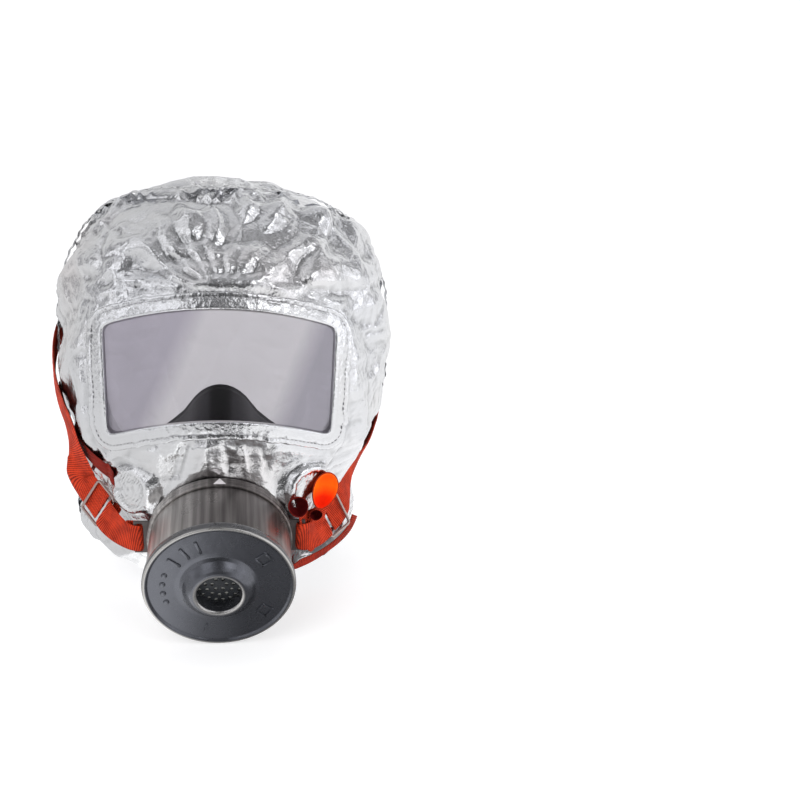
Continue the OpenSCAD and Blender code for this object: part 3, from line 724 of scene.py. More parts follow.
def gun_material():
    """Satin black lacquer on metal, faintly drawn along the canister, with painted light and shade
    from side to side.
    """
    material, shader = new_material("lacquered_gunmetal", (0.16, 0.158, 0.150), 0.30, 0.80)
    place = shader.coordinates()
    grain = shader.noise(place, Scale=0.30, Detail=5.0)
    patches = shader.noise(place, Scale=0.035, Detail=5.0)
    # stretched along the canister, so the marks run that way
    stretched = shader.node("Mapping", vector_type="TEXTURE", Vector=place,
                            Rotation=(PORT_TILT, 0, 0), Scale=(3.2, 90.0, 3.2))
    drawn = shader.noise(stretched.outputs["Vector"], Scale=1.0, Detail=3.0)
    streaks = shader.ramp(drawn, (0.30, (0.13, 0.122, 0.118)), (0.50, (0.20, 0.190, 0.184)),
                          (0.70, (0.30, 0.288, 0.276)))
    # painted light and shade: lighter towards the left, darker in the middle, with a faint red painted
    # reflection near the right edge
    sideways = shader.map_range(shader.separate(place)["X"], -45, 45)
    shade = shader.ramp(
        sideways, (0.0, 0.75), (0.08, 1.0), (0.18, 1.0), (0.38, (0.50, 0.49, 0.49)),
        (0.62, (0.34, 0.33, 0.33)), (0.80, (0.40, 0.38, 0.38)), (0.94, (0.52, 0.46, 0.45)),
        (1.0, 0.40))
    colour = shader.mix_colours(1.0, streaks, shade, blend_type="MULTIPLY")
    shader.set(
        Base_Color=shader.mix_colours(1.0, colour, colour, blend_type="ADD"),
        Roughness=shader.ramp(patches, (0.3, 0.24), (0.7, 0.36)),
        Normal=shader.bump(drawn, 0.05, 0.0002, shader.bump(grain, 0.012, 0.0002)))
    return material


MATERIALS = {
    "foil": foil_material(),
    "lining": lining_material(),
    "visor": visor_material(),
    "web": web_material("ribbed_webbing", (0.07, 0.003, 0.002), (0.76, 0.062, 0.020)),
    # painted shade: a darker copy of the webbing, used for the right strap's free tail
    "web_mid": web_material("ribbed_webbing_half_shaded", (0.05, 0.002, 0.002),
                            (0.50, 0.034, 0.012)),
    "web_dark": web_material("ribbed_webbing_shaded", (0.07, 0.004, 0.003),
                             (0.30, 0.020, 0.010)),
    "web_smooth": smooth_side_painted_light_material(),
    "web_maroon": plain_material("webbing_shaded_side", (0.075, 0.004, 0.005), 0.85,
                                 Specular_IOR_Level=0.05),
    "rubber": rubber_material(),
    "black": plain_material("moulded_black", (0.050, 0.054, 0.060), 0.27, coat=0.25, bump=0.04,
                            Metallic=0.45),
    "gun": gun_material(),
    "yoke": plain_material("yoke_dark", (0.075, 0.06, 0.058), 0.35),
    "cover": plain_material("valve_cover_grey", (0.34, 0.34, 0.35), 0.5),
    "tape": plain_material("seal_tape", (0.09, 0.09, 0.095), 0.7, bump=0.2),
    # painted glow: the bedding tape glows so that it does not look dark in the shade behind the film
    "pale_tape_painted_glow": plain_material("window_bedding_tape_painted_glow", (0.66, 0.66, 0.67), 0.6, bump=0.2,
                                Emission_Color=(0.75, 0.74, 0.77, 1), Emission_Strength=0.42),
    "lid": lid_material(),
    "elastic": plain_material("woven_elastic", (0.03, 0.03, 0.032), 0.85, bump=0.4, scale=1.2),
    "silicone": plain_material("valve_silicone", (0.62, 0.58, 0.50), 0.4),
    "steel": new_material("zinc_steel", (0.55, 0.55, 0.57), 0.35, 1.0)[0],
    "wire": plain_material("drawn_wire", (0.50, 0.40, 0.37), 0.26, scale=1.5, Metallic=1.0),
    "index": plain_material("index_paint", (0.72, 0.69, 0.70), 0.45),
    "thread": plain_material("sewing_thread", (0.30, 0.30, 0.31), 0.7, scale=3),
    "thread_dark": plain_material("sewing_thread_dark", (0.25, 0.02, 0.012), 0.7, scale=3),
    "felt": plain_material("felt", (0.75, 0.75, 0.70), 0.95, bump=0.6, scale=1.5),
    "paper": plain_material("filter_paper", (0.85, 0.84, 0.80), 0.9, bump=0.3, scale=1.5),
    "desiccant": grain_material("desiccant_beads", (0.75, 0.75, 0.70), (0.9, 0.9, 0.86), 2.0),
    "catalyst": grain_material("catalyst_grains", (0.10, 0.06, 0.04), (0.2, 0.14, 0.09), 1.6),
    "carbon": grain_material("carbon_grains", (0.012, 0.012, 0.012), (0.05, 0.05, 0.05), 1.4),
    "gasket": plain_material("gasket_rubber", (0.30, 0.05, 0.03), 0.5),
}

# CAD pieces kept as they are, by material
KEPT_PIECES = {
    "black": ("inhalation_seat", "exhalation_seat_left", "exhalation_seat_right",
              "intake_grille", "canister_rear_plate", "mask_connector"),
    "silicone": ("inhalation_stud", "inhalation_flap", "exhalation_flap_left",
                 "exhalation_flap_right"),
    "cover": ("exhalation_cover_left", "exhalation_cover_right"),
    "yoke": ("harness_yoke",), "index": ("index_mark",), "felt": ("dust_felt",),
    "paper": ("particulate_filter",), "steel": ("bed_screens", "bed_spring"),
    "desiccant": ("desiccant_bed",), "catalyst": ("catalyst_bed",), "carbon": ("carbon_bed",),
    "gasket": ("canister_gasket",), "elastic": ("neck_elastic",), "foil": ("neck_hem",),
    "tape": ("neck_seal_collar",), "rubber": ("mask_face_lip",),
    "pale_tape_painted_glow": ("visor_seal_strip",),
}
for material_name, piece_names in KEPT_PIECES.items():
    for piece_name in piece_names:
        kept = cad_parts[piece_name]
        kept.data.materials.clear()
        kept.data.materials.append(MATERIALS[material_name])
        sharpen(kept)

# ------------------------------------------------------------------ strap centre lines
# Each row: angle in degrees, station, height over the smooth hood
HEAD_STRAPS = {
    "left": np.array([
        [-60.5, 5.3, 9.6], [-58.5, 6.2, 6.4], [-60.5, 7.05, 4.8], [-68, 7.75, 4.2],
        [-80, 8.3, 3.8], [-93, 8.75, 3.4], [-110, 9.1, 2.8], [-132, 9.35, 2.4],
        [-156, 9.5, 2.2], [-178.6, 9.55, 2.2]]),
    "right": np.array([
        [62, 4.75, 6.0], [73, 5.6, 3.8], [86, 6.4, 2.7], [101, 7.2, 2.4],
        [118, 8.1, 2.2], [137, 8.9, 2.2], [157, 9.4, 2.2], [178.6, 9.55, 2.2]])}
LEFT_TAIL = np.array([
    [-40, 5.75, 0.6], [-47, 5.95, 1.7], [-58, 6.5, 1.7], [-68, 7.3, 1.7], [-75, 8.0, 1.7]])
RIGHT_TAIL = np.array([
    [62, 3.4, 9], [58, 2.9, 6], [52, 2.5, 4.5], [44, 2.15, 4], [35, 1.95, 4], [27, 1.9, 4.5]])
JOINT_LINE = np.array([[172.5, 9.55, 3.9], [180, 9.55, 3.9], [187.5, 9.55, 3.9]])


def lay(line, share):
    """Points of a strap line at shares of its length in rows."""
    q = catmull_rom(line, np.asarray(share, float) * (len(line) - 1))
    angle, station = np.radians(q[..., 0]), q[..., 1]
    return hood(angle, station) + q[..., 2][..., None] * hood_normal(angle, station)


STRAP_PATHS = [(lay(HEAD_STRAPS["left"], np.linspace(0.12, 1, 26)), 0),
               (lay(HEAD_STRAPS["right"], np.linspace(0.12, 1, 26)), 0),
               (lay(LEFT_TAIL, np.linspace(0, 1, 8)), 3)]     # 3 mm narrower zone


def strap_distance(points):
    """Distance to the nearest strap that presses on the cloth."""
    return np.minimum.reduce([nearest_on(points, path)[0] + extra for path, extra in STRAP_PATHS])


# ------------------------------------------------------------------ hood cloth, simulated coarsely
SIM_COLUMNS, SIM_ROWS = 210, 108
SIM_FRAMES = 30
SIM_SCALE = 0.01        # simulation units in a millimetre
CLOTH_COLUMNS, CLOTH_ROWS = 540, 290


def even_stations(count, top=0.99):
    """Stations spaced evenly by mean length over the front, side and back."""
    fine = np.linspace(0, TOP, 1401)
    run = 0
    for angle in (0.01, math.pi / 2, math.pi):
        run = run + run_length(hood(np.full_like(fine, angle), fine)) / 3
    return np.interp(np.linspace(0, run[-1] * top, count), run, fine)


def opening_distances(points):
    """Distance outside the window and radius about the port (999 at the back)."""
    radius = port_offset(points)[1]
    return window_distance(points), np.where(points[..., 1] < 0, radius, 999.0)


def cut_faces(faces, window, port, window_limit, port_limit):
    """Leaves out grid faces in the window or the port; the grids hold every corner."""
    corners = [window[:-1, :-1], window[:-1, 1:], window[1:, :-1], window[1:, 1:]]
    cut = ((np.maximum.reduce(corners) < window_limit)
           | (np.maximum(port[:-1, :-1], port[1:, 1:]) < port_limit))
    return [face for face, gone in zip(faces, cut.ravel()) if not gone]


def simulate_hood():
    """Displacement of the coarse cloth from the smooth hood, by row and column."""
    angles = np.linspace(-math.pi, math.pi, SIM_COLUMNS, endpoint=False)
    angle, station = np.meshgrid(angles, even_stations(SIM_ROWS))
    grid = hood(angle, station)
    window, port = opening_distances(grid)
    faces = cut_faces(grid_faces(SIM_ROWS, SIM_COLUMNS, wrap=True),
                      np.column_stack([window, window[:, 0]]),
                      np.column_stack([port, port[:, 0]]), window_limit=-3, port_limit=19)
    window, port = window.ravel(), port.ravel()
    points = grid.reshape(-1, 3)
    normals = hood_normal(angle, station).reshape(-1, 3)
    fade = np.clip((window - 9) / 12, 0, 1) * np.clip((port - 46) / 12, 0, 1)
    start = points + normals * (0.5 * fade * value_noise(points, 13, 5)
                                + 0.5 * fade * value_noise(points, 27, 9))[:, None]
    mesh = bpy.data.meshes.new("cloth_sim")
    mesh.from_pydata((start * SIM_SCALE).tolist(), [], faces)
    sheet = bpy.data.objects.new("cloth_sim", mesh)
    bpy.context.scene.collection.objects.link(sheet)

    # held at the window, port, hem and crown, and partly along the seam and under the straps
    strap = strap_distance(points)
    pin = np.clip(1 - (window - 9) / 5, 0, 1)
    pin = np.maximum(pin, np.clip(1 - (port - 43) / 5, 0, 1))
    pin = np.maximum(pin, np.clip(1 - station.ravel() / 0.3, 0, 1))
    pin = np.maximum(pin, (station.ravel() > 13.3) * 1.0)
    half_width = STATIONS[np.clip(station.ravel().astype(int), 0, TOP), 2]
    seam = np.abs(np.abs(angle.ravel()) - math.pi / 2) * half_width
    pin = np.maximum(pin, 0.5 * np.clip(1 - seam / 4, 0, 1))
    pin = np.maximum(pin, 0.85 * np.clip(1 - (strap - 9) / 4, 0, 1))
    pin_group = sheet.vertex_groups.new(name="pin")
    for k in np.nonzero(pin > 0.01)[0]:
        pin_group.add([int(k)], float(pin[k]), "REPLACE")
    # spare cloth: uneven, with more at port height
    spare = 0.55 + 0.45 * value_noise(points, 45, 21)
    spare = np.clip(spare + 0.5 * np.exp(-((points[:, 2] - 60) / 35.0) ** 2), 0.05, 1)
    spare_group = sheet.vertex_groups.new(name="spare")
    for k, weight in enumerate(spare):
        spare_group.add([k], float(weight), "REPLACE")

    cloth = sheet.modifiers.new("cloth", "CLOTH")
    settings = cloth.settings
    settings.quality = 6
    settings.mass = 0.15
    settings.tension_stiffness = settings.compression_stiffness = 22
    settings.shear_stiffness = 9
    settings.bending_stiffness = 0.22
    settings.tension_damping = settings.compression_damping = settings.shear_damping = 8
    settings.bending_damping = 0.5
    settings.air_damping = 2
    settings.vertex_group_mass = "pin"
    settings.pin_stiffness = 2
    settings.vertex_group_shrink = "spare"
    settings.shrink_min = 0.0
    settings.shrink_max = -0.085
    settings.use_pressure = True
    settings.uniform_pressure_force = 0.35
    settings.effector_weights.gravity = 0.25
    cloth.collision_settings.use_collision = False
    cloth.collision_settings.use_self_collision = False
    cloth.point_cache.frame_end = SIM_FRAMES
    scene = bpy.context.scene
    for number in range(1, SIM_FRAMES + 1):
        scene.frame_set(number)
    result = sheet.evaluated_get(bpy.context.evaluated_depsgraph_get())
    settled = np.zeros(SIM_COLUMNS * SIM_ROWS * 3)
    result.data.vertices.foreach_get("co", settled)
    scene.frame_set(1)
    bpy.data.objects.remove(sheet)
    moved = settled.reshape(-1, 3) * 100 - points
    # a simulation that blew up leaves the hood smooth
    if np.isnan(moved).any():
        moved = np.zeros_like(moved)
    # limit the movement, most of all under the straps
    outward = (moved * normals).sum(1)
    tangential = moved - outward[:, None] * normals
    limited = np.clip(outward, -3.5, np.where(strap < 14, 0.6, 7.5))
    moved = tangential * 0.7 + limited[:, None] * normals
    return moved.reshape(SIM_ROWS, SIM_COLUMNS, 3)


def cubic_weights(f):
    return np.stack([-0.5 * f ** 3 + f ** 2 - 0.5 * f, 1.5 * f ** 3 - 2.5 * f ** 2 + 1,
                     -1.5 * f ** 3 + 2 * f ** 2 + 0.5 * f, 0.5 * f ** 3 - 0.5 * f ** 2], -1)


def upsample(moved, angle, station):
    """Cubic interpolation of the simulated displacement."""
    row = np.interp(station, even_stations(SIM_ROWS), np.arange(SIM_ROWS))
    column = (angle + math.pi) / (2 * math.pi) * SIM_COLUMNS
    row0, column0 = np.floor(row).astype(int), np.floor(column).astype(int)
    row_weight, column_weight = cubic_weights(row - row0), cubic_weights(column - column0)
    out = np.zeros(angle.shape + (3,))
    for a in range(4):
        rows = np.clip(row0 + a - 1, 0, SIM_ROWS - 1)
        for b in range(4):
            weight = row_weight[..., a] * column_weight[..., b]
            out += weight[..., None] * moved[rows, (column0 + b - 1) % SIM_COLUMNS]
    return out


# ------------------------------------------------------------------ folds and creases
# Groups of long folds: (middle shifted up by, half width, rows); each row holds
# first angle, first station, last angle, last station, height
FOLD_GROUPS = (
    # sides, from the crown towards the window's upper corners
    (0.12, 2.8, (
        (-80, 12.0, -50, 10.0, 2.4), (-86, 11.0, -56, 9.2, 2.0), (-88, 10.0, -60, 8.6, -1.8),
        (-70, 12.6, -44, 10.6, -2.0), (80, 12.0, 47, 10.2, 2.8), (86, 11.2, 52, 10.0, 2.2),
        (88, 10.2, 58, 9.3, -2.0), (72, 12.6, 30, 10.8, 2.6), (88, 9.2, 60, 8.2, 2.2),
        (85, 8.4, 58, 7.4, -1.8))),
    # pinches under and over the middle of the window
    (0, 2.0, (
        (-3, 7.55, -5, 5.6, 2.4), (2, 7.55, 3, 5.5, -2.6), (6, 7.55, 11, 5.5, 2.6),
        (-9, 7.45, -14, 5.9, -1.8), (12, 7.4, 19, 5.9, -1.8), (-2, 10.45, -22, 10.75, 2.2),
        (-4, 10.6, -20, 11.0, -2.0), (3, 10.5, 18, 10.8, 1.6))),
    # sweeps from the window's lower corners round the jaw to the clamp ring
    (-0.15, 2.6, (
        (-52, 6.9, -24, 5.9, 2.4), (-60, 6.4, -30, 5.3, -2.0), (52, 6.9, 24, 5.9, 2.6),
        (60, 6.3, 26, 5.5, 2.2), (66, 5.9, 30, 5.2, -2.2), (-70, 7.6, -48, 6.4, 1.8),
        (70, 7.4, 50, 6.4, 2.0))))


def fold_lines():
    """Long sharp folds: (polyline, height, half width)."""
    folds = []

    def add(stations, height, half_width):
        q = catmull_rom(stations, np.linspace(0, len(stations) - 1, 14))
        folds.append((hood(np.radians(q[:, 0]), q[:, 1]), height, half_width))
    for rise, half_width, rows in FOLD_GROUPS:
        for a0, s0, a1, s1, height in rows:
            add([[a0, s0], [(a0 + a1) / 2, (s0 + s1) / 2 + rise], [a1, s1]], height, half_width)
    # upright gathers of the skirt
    for k in range(46):
        a = -180 + k * 360 / 46 + 3 * math.sin(k * 2.3)
        height = 2.2 * (1 if k % 2 else -1) * (0.7 + 0.3 * math.sin(k * 1.7))
        add([[a, 0.25], [a + 3 * math.sin(k), 1.5],
             [a + 5 * math.sin(k * 1.3), 3.0 + 0.8 * math.sin(k * 0.9)]], height, 3.0)
    # folds low on the back panel
    for k in range(14):
        a = 100 + k * 160 / 13
        add([[a, 3.6], [a + 6 * math.sin(k * 1.9), 5.2],
             [a + 9 * math.sin(k * 2.6), 7.0 + math.sin(k)]], 2.2 * (-1) ** k, 3.4)
    # folds high on the back panel
    for k in range(10):
        a = 105 + k * 150 / 9
        add([[a, 13.0], [a + 5 * math.sin(k * 1.4), 11.8], [a + 9 * math.sin(k * 2.1), 10.4]],
            1.8 * (-1) ** k, 3.4)
    return folds


# Length up the front centre line, by station
FRONT_STATIONS = np.linspace(0, TOP, 701)
FRONT_RUN = run_length(hood(np.zeros_like(FRONT_STATIONS), FRONT_STATIONS))
# Radial folds over the window: directions in degrees from upright, and height of each
FAN_ANGLES = np.array([-98, -84, -73, -62, -51, -41, -33, -27, -19, -12,
                       -3, 5, 14, 20, 31, 40, 52, 60, 74, 98], float)
FAN_HEIGHTS = np.array([0.3, -0.9, 1.0, -0.6, 1.1, -1.0, 0.5, -0.9, 1.2, -0.7,
                        1.0, -1.2, 0.8, -0.6, 1.2, -0.7, 1.1, -1.0, 0.8, 0])


def fan(points, station, angle):
    """Radial folds from the middle of the window's top edge up to the crown seam."""
    up = (np.interp(station, FRONT_STATIONS, FRONT_RUN)
          - np.interp(10.35, FRONT_STATIONS, FRONT_RUN))
    x = points[:, 0] + 1.5
    direction = (np.degrees(np.arctan2(x, up + 9)) + 6.5 * value_noise(points, 30, 61)
                 + 2.0 * value_noise(points, 11, 62))
    reach = np.hypot(x, up + 6)
    middles = 0.5 * (FAN_ANGLES[1:] + FAN_ANGLES[:-1])
    spread = np.interp(direction, middles, np.radians(np.diff(FAN_ANGLES)))
    i = np.clip(np.searchsorted(FAN_ANGLES, direction) - 1, 0, len(FAN_ANGLES) - 2)
    f = np.clip((direction - FAN_ANGLES[i]) / (FAN_ANGLES[i + 1] - FAN_ANGLES[i]), 0, 1)
    f = 0.45 * f + 0.55 * smoothstep(f)
    height = FAN_HEIGHTS[i] * (1 - f) + FAN_HEIGHTS[i + 1] * f
    patch = 0.45 + 0.55 * smoothstep(0.55 + 1.4 * value_noise(points, 28, 63))
    mask = (smoothstep((up + 2) / 9) * smoothstep((reach - 6) / 16) * patch
            * (points[:, 1] < -25) * smoothstep((math.pi / 2 - 0.12 - np.abs(angle)) / 0.25))
    return height * spread * np.minimum(reach, 75) * 0.20 * mask


# Creases in all directions: wavelength, slope, number of directions
CREASES = ((52, 0.22, 2), (30, 0.22, 3), (17, 0.15, 3), (9, 0.11, 3), (5.2, 0.085, 3))
FOLDS = fold_lines()


def crumple(points, station, angle):
    """Height of the folds and creases along the normal."""
    generator = np.random.default_rng(5)
    warp = np.stack([value_noise(points, 20, seed) for seed in (31, 32, 33)], 1) * 5
    drift = np.stack([value_noise(points, 60, seed) for seed in (34, 35, 36)], 1) * 14
    height = np.zeros(len(points))
    calm = 0.35 + 0.65 * smoothstep(0.5 + 1.3 * value_noise(points, 34, 71))
    for wavelength, slope, count in CREASES:
        for _ in range(count):
            direction = unit(generator.normal(size=3) * np.array([1.0, 0.8, 0.7]))
            phase = generator.random()
            seed = int(generator.integers(1000))
            patch = smoothstep(0.42 + 1.5 * value_noise(points, 2.1 * wavelength, seed))
            bent = points + warp * min(1, wavelength / 14) + drift * (wavelength > 12)
            wave = triangle_wave(bent @ direction / wavelength + phase)
            if wavelength <= 12:
                wave = wave * np.abs(wave) ** 0.3
            height += slope * wavelength / 4 * wave * patch * (calm if wavelength < 20 else 1)
    height += fan(points, station, angle)
    for line, fold_height, half_width in FOLDS:
        near = np.all((points > line.min(0) - 14) & (points < line.max(0) + 14), axis=1)
        if not near.any():
            continue
        distance, place = nearest_on(points[near] + warp[near] * 0.5, line)
        height[near] += (0.8 * fold_height * np.exp(-(distance / half_width) ** 1.2)
                         * np.clip(4 * place, 0, 1) ** 0.7 * np.clip(3 * (1 - place), 0, 1))
    # puckers each side of the crown seam
    seam = (np.abs(np.abs(angle) - math.pi / 2)
            * np.interp(station, np.arange(TOP + 1), STATIONS[:, 2]))
    pole = np.linalg.norm(points - CROWN, axis=1)
    turn = np.arctan2(points[:, 0], np.abs(points[:, 1] - CROWN[1]) + 4)
    height += (1.7 * np.exp(-seam / 8)
               * triangle_wave(station * 2.6 + 1.2 * value_noise(points, 12, 44))
               * smoothstep((pole - 8) / 20))
    height += (1.3 * np.exp(-((pole - 14) / 16) ** 2)
               * triangle_wave(turn * 2.2 + 0.8 * value_noise(points, 10, 45)))
    # crisp rim round the exhalation valves
    for centre, axis in VALVES:
        distance = np.linalg.norm(points - (centre + VALVE_PAD * axis), axis=1)
        ripple = triangle_wave(distance / 3.1 + value_noise(points, 4, 46))
        height = np.where(distance < 13.5, height * 0.30 + 0.35 * ripple, height)
        height += (-1.3 * np.exp(-((distance - 17.5) / 2.2) ** 2)
                   + 0.8 * np.exp(-((distance - 14.5) / 1.8) ** 2))
    return height


def hood_panel(side, first_angle, simulated):
    """Half of the hood cloth, from one side seam to the other."""
    columns = CLOTH_COLUMNS // 2 + 1
    angles = np.radians(np.linspace(first_angle, first_angle + 180, columns))
    angle, station = np.meshgrid(angles, even_stations(CLOTH_ROWS, 0.9965))
    wrapped = (angle + math.pi) % (2 * math.pi) - math.pi
    smooth = hood(angle, station)
    normals = hood_normal(angle, station)
    window, port = opening_distances(smooth)
    flat = smooth.reshape(-1, 3)
    creases = crumple(flat, station.ravel(), wrapped.ravel()).reshape(station.shape)
    creases = creases * (np.clip((window - 9.2) / 5, 0, 1) * np.clip((port - 44.5) / 7, 0, 1)
                         * np.clip(station / 0.5, 0, 1))
    moved = (upsample(simulated, wrapped, station) * np.clip((window - 9) / 3, 0, 1)[..., None]
             * np.clip((port - 44) / 3, 0, 1)[..., None])
    outward = (moved * normals).sum(-1)
    tangential = moved - outward[..., None] * normals
    # soften the highest folds and keep the cloth low under the straps
    height = outward + creases
    under = np.clip(1 - (strap_distance(flat).reshape(station.shape) - 11) / 4, 0, 1)
    height = np.where(height > 2.0, 2.0 + 0.5 * (height - 2.0), height)
    height = np.clip(height, -5.0, 0.7 + 4.0 * (1 - under))
    points = (smooth + tangential + (height + 0.8)[..., None] * normals).reshape(-1, 3)
    faces = grid_faces(CLOTH_ROWS, columns)
    if side == "face":
        faces = cut_faces(faces, window, port, window_limit=4.5, port_limit=20.5)
    faces = np.array(faces)
    used = np.zeros(len(points), bool)
    used[faces.ravel()] = True
    faces = (np.cumsum(used) - 1)[faces]
    panel = make_object("hood_cloth_" + side, points[used], faces, MATERIALS["foil"])
    panel.data.materials.append(MATERIALS["lining"])
    thick = panel.modifiers.new("thick", "SOLIDIFY")
    thick.thickness = 0.0008
    thick.offset = -1
    thick.use_even_offset = False
    thick.material_offset = 1
    thick.material_offset_rim = 0
    register(panel, "foil_cloth", "hood_%s_panel" % side)


simulated_cloth = simulate_hood()
hood_panel("face", -90.0, simulated_cloth)
hood_panel("back", 90.0, simulated_cloth)


# ------------------------------------------------------------------ crown seam and stitches
def stitches(name, path, normals, pitch, length, radius, slot):
    """Row of sewn stitches: short rounded bars that lie along a path."""
    run = run_length(path)
    # place along the stitch and share of full radius
    profile = ((-0.5, 0.35), (-0.38, 0.9), (0, 1.0), (0.38, 0.9), (0.5, 0.35))
    turn = 2 * math.pi * np.arange(6)[:, None] / 6
    parts = []
    place = pitch / 2
    while place < run[-1] - pitch / 2:
        centre, start, end = (resample(place + shift, run, path)
                              for shift in (0, -length / 2, length / 2))
        normal = unit(resample(place, run, normals))
        along = unit(end - start)
        x = unit(np.cross(along, normal))
        y = np.cross(x, along)
        round_bar = x * np.cos(turn) + y * np.sin(turn)
        parts.append(np.array([
            centre + along * f * length + normal * (-f ** 2 * radius * 2.2)
            + share * radius * round_bar for f, share in profile]))
        place += pitch
    register(make_tubes(name, parts, MATERIALS["thread"]), slot)


def crown_seam():
    """Puckered tape over the crown from side to side, with a row of stitches."""
    width, thickness, lift = 7.2, 0.9, 1.5
    station = np.linspace(1.1, 13.75, 330)
    quarter = np.full_like(station, math.pi / 2)
    middle = [[x, CROWN[1] + abs(x) * 0.02, 263.6] for x in np.linspace(-6, 6, 9)]
    centres = np.concatenate([hood(-quarter, station), middle, hood(quarter, station)[::-1]])
    normals = np.concatenate([hood_normal(-quarter, station), np.tile([0, 0, 1.0], (9, 1)),
                              hood_normal(quarter, station)[::-1]])
    for _ in range(12):
        normals[1:-1] = unit(normals[:-2] + normals[1:-1] + normals[2:])
    across = unit(np.cross(unit(np.gradient(centres, axis=0)), normals))
    centres = centres + normals * lift
    run = run_length(centres)
    s = run[:, None]
    x, edge = band_edge(9, 8)
    pucker = (0.55 * np.sin(s * 0.85 + 1.5 * np.sin(s * 0.11)) * (0.4 + 0.6 * np.abs(x * width) / 4)
              + 0.35 * np.sin(s * 0.31))
    tape = band("crown_seam_tape", centres, across, normals, run, width,
                thickness * (0.5 + 0.5 * edge) + pucker, thickness * (0.5 - 0.5 * edge) + pucker,
                MATERIALS["foil"])
    register(tape, "seam_tape", "crown_seam_binding")
    stitches("crown_seam_stitches", centres + normals * 0.75, normals, pitch=3.4, length=2.1,
             radius=0.28, slot="seam_tape")


crown_seam()

# ------------------------------------------------------------------ window
FRAME_POINTS = 620          # points round the window outline
CORNER_PASSES = 71          # smoothing passes that round its corners
# Section of the frame strip: distance outside the outline, height
FRAME_SECTION = (
    (-0.35, -0.9), (-0.6, 0.2), (-0.3, 0.9), (0.6, 1.15), (2.0, 0.9), (4.0, 0.85), (6.0, 0.80),
    (6.8, 0.50), (7.6, 0.85), (8.8, 1.0), (9.6, 0.95), (10.1, 0.5), (10.0, -0.6))
STITCH_GROOVE = 6.8         # distance outside the outline


def window_outline(growth):
    """Window outline with round corners, grown by a distance, in the window plane."""
    x = np.linspace(-WINDOW_HALF, WINDOW_HALF, 120)
    top = np.stack([x, WINDOW_TOP + window_arc(x)], 1)
    bottom = np.stack([x[::-1] * BOTTOM_SHARE, WINDOW_BOTTOM + window_arc(x[::-1])], 1)
    right = np.linspace(top[-1], bottom[0], 40)[1:-1]
    left = np.linspace(bottom[-1], top[0], 40)[1:-1]
    points = np.concatenate([top, right, bottom, left, top[:1]])
    run = run_length(points)
    points = resample(np.linspace(0, run[-1], FRAME_POINTS, endpoint=False), run, points)
    for _ in range(CORNER_PASSES):
        points = 0.25 * np.roll(points, 1, 0) + 0.5 * points + 0.25 * np.roll(points, -1, 0)
    tangent = np.roll(points, -1, 0) - np.roll(points, 1, 0)
    outward = unit(np.stack([-tangent[:, 1], tangent[:, 0]], 1))
    return points + outward * np.reshape(growth, (-1, 1))


def window_frame():
    """Gathered foil strip sewn round the window."""
    turn = np.arange(FRAME_POINTS) * 2 * math.pi / FRAME_POINTS
    ring = np.stack([np.cos(turn) * 75, np.sin(turn) * 75, np.zeros(FRAME_POINTS)], 1)
    wobble = value_noise(ring, 3.6, 81) * 0.7 + value_noise(ring, 7.5, 82) * 0.7
    gather = 0.35 + 0.65 * smoothstep(0.5 + 1.2 * value_noise(ring, 22, 84))
    pucker = gather * (0.85 * wobble + 0.35 * value_noise(ring, 1.9, 83))
    rows = []
    for growth, height in FRAME_SECTION:
        edge = window_outline(growth + (0.7 * wobble if growth > 5 else 0))
        angle, station = window_to_hood(edge[:, 0], edge[:, 1])
        raised = (growth - 2.2) / 7.5 * pucker if 2.2 < growth < 9.8 else np.zeros(FRAME_POINTS)
        rows.append(hood(angle, station)
                    + hood_normal(angle, station) * (0.85 + height + raised)[:, None])
    faces = grid_faces(len(rows), FRAME_POINTS, wrap=True, wrap_rows=True)
    strip = make_solid("window_frame_strip", np.concatenate(rows), faces, MATERIALS["foil"])
    register(strip, "foil_cloth", "visor_frame_strip")
    seam = window_outline(STITCH_GROOVE)
    seam = np.vstack([seam, seam[:1]])
    angle, station = window_to_hood(seam[:, 0], seam[:, 1])
    normals = hood_normal(angle, station)
    stitches("window_frame_stitches", hood(angle, station) + normals * 1.5, normals, pitch=3.1,
             length=2.0, radius=0.30, slot="foil_cloth")


def window_film():
    """Clear film that reaches a margin under the frame strip."""
    margin = 6.5
    columns, rows = 90, 54
    side, height = np.meshgrid(np.linspace(-1, 1, columns), np.linspace(0, 1, rows))
    x = side * (WINDOW_HALF + margin)
    arc = window_arc(np.clip(x, -WINDOW_HALF, WINDOW_HALF))
    v = ((WINDOW_BOTTOM - margin + arc) * (1 - height) + (WINDOW_TOP + margin + arc) * height)
    x = x * width_share(height)
    angle, station = window_to_hood(x.ravel(), v.ravel())
    points, normals = hood(angle, station), hood_normal(angle, station)
    count = rows * columns
    faces = (grid_faces(rows, columns) + grid_faces(rows, columns, base=count, flip=True))
    index = np.arange(count).reshape(rows, columns)
    ring = np.concatenate([index[0], index[1:, -1], index[-1, -2::-1], index[-2:0:-1, 0]])
    for p, q in zip(ring, np.roll(ring, -1)):
        faces.append((q, p, p + count, q + count))
    film = make_solid("window_film", np.concatenate([points - normals * 0.45,
                                                     points - normals * 1.35]),
                      faces, MATERIALS["visor"])
    register(film, "visor_film", "visor_pane")


window_frame()
window_film()


# ------------------------------------------------------------------ half mask
def mask_edge(turn):
    """Edge of the mask against the face; turn 0 is +X, a quarter turn is the nose."""
    s, c = np.sin(turn), np.cos(turn)
    up = s > 0
    return np.stack([54 * c * (1 - 0.42 * smoothstep((s - 0.33) / 0.45)),
                     -38 - np.where(up, 42, 26) * s ** 2, 70 + np.where(up, 77, 40) * s], -1)


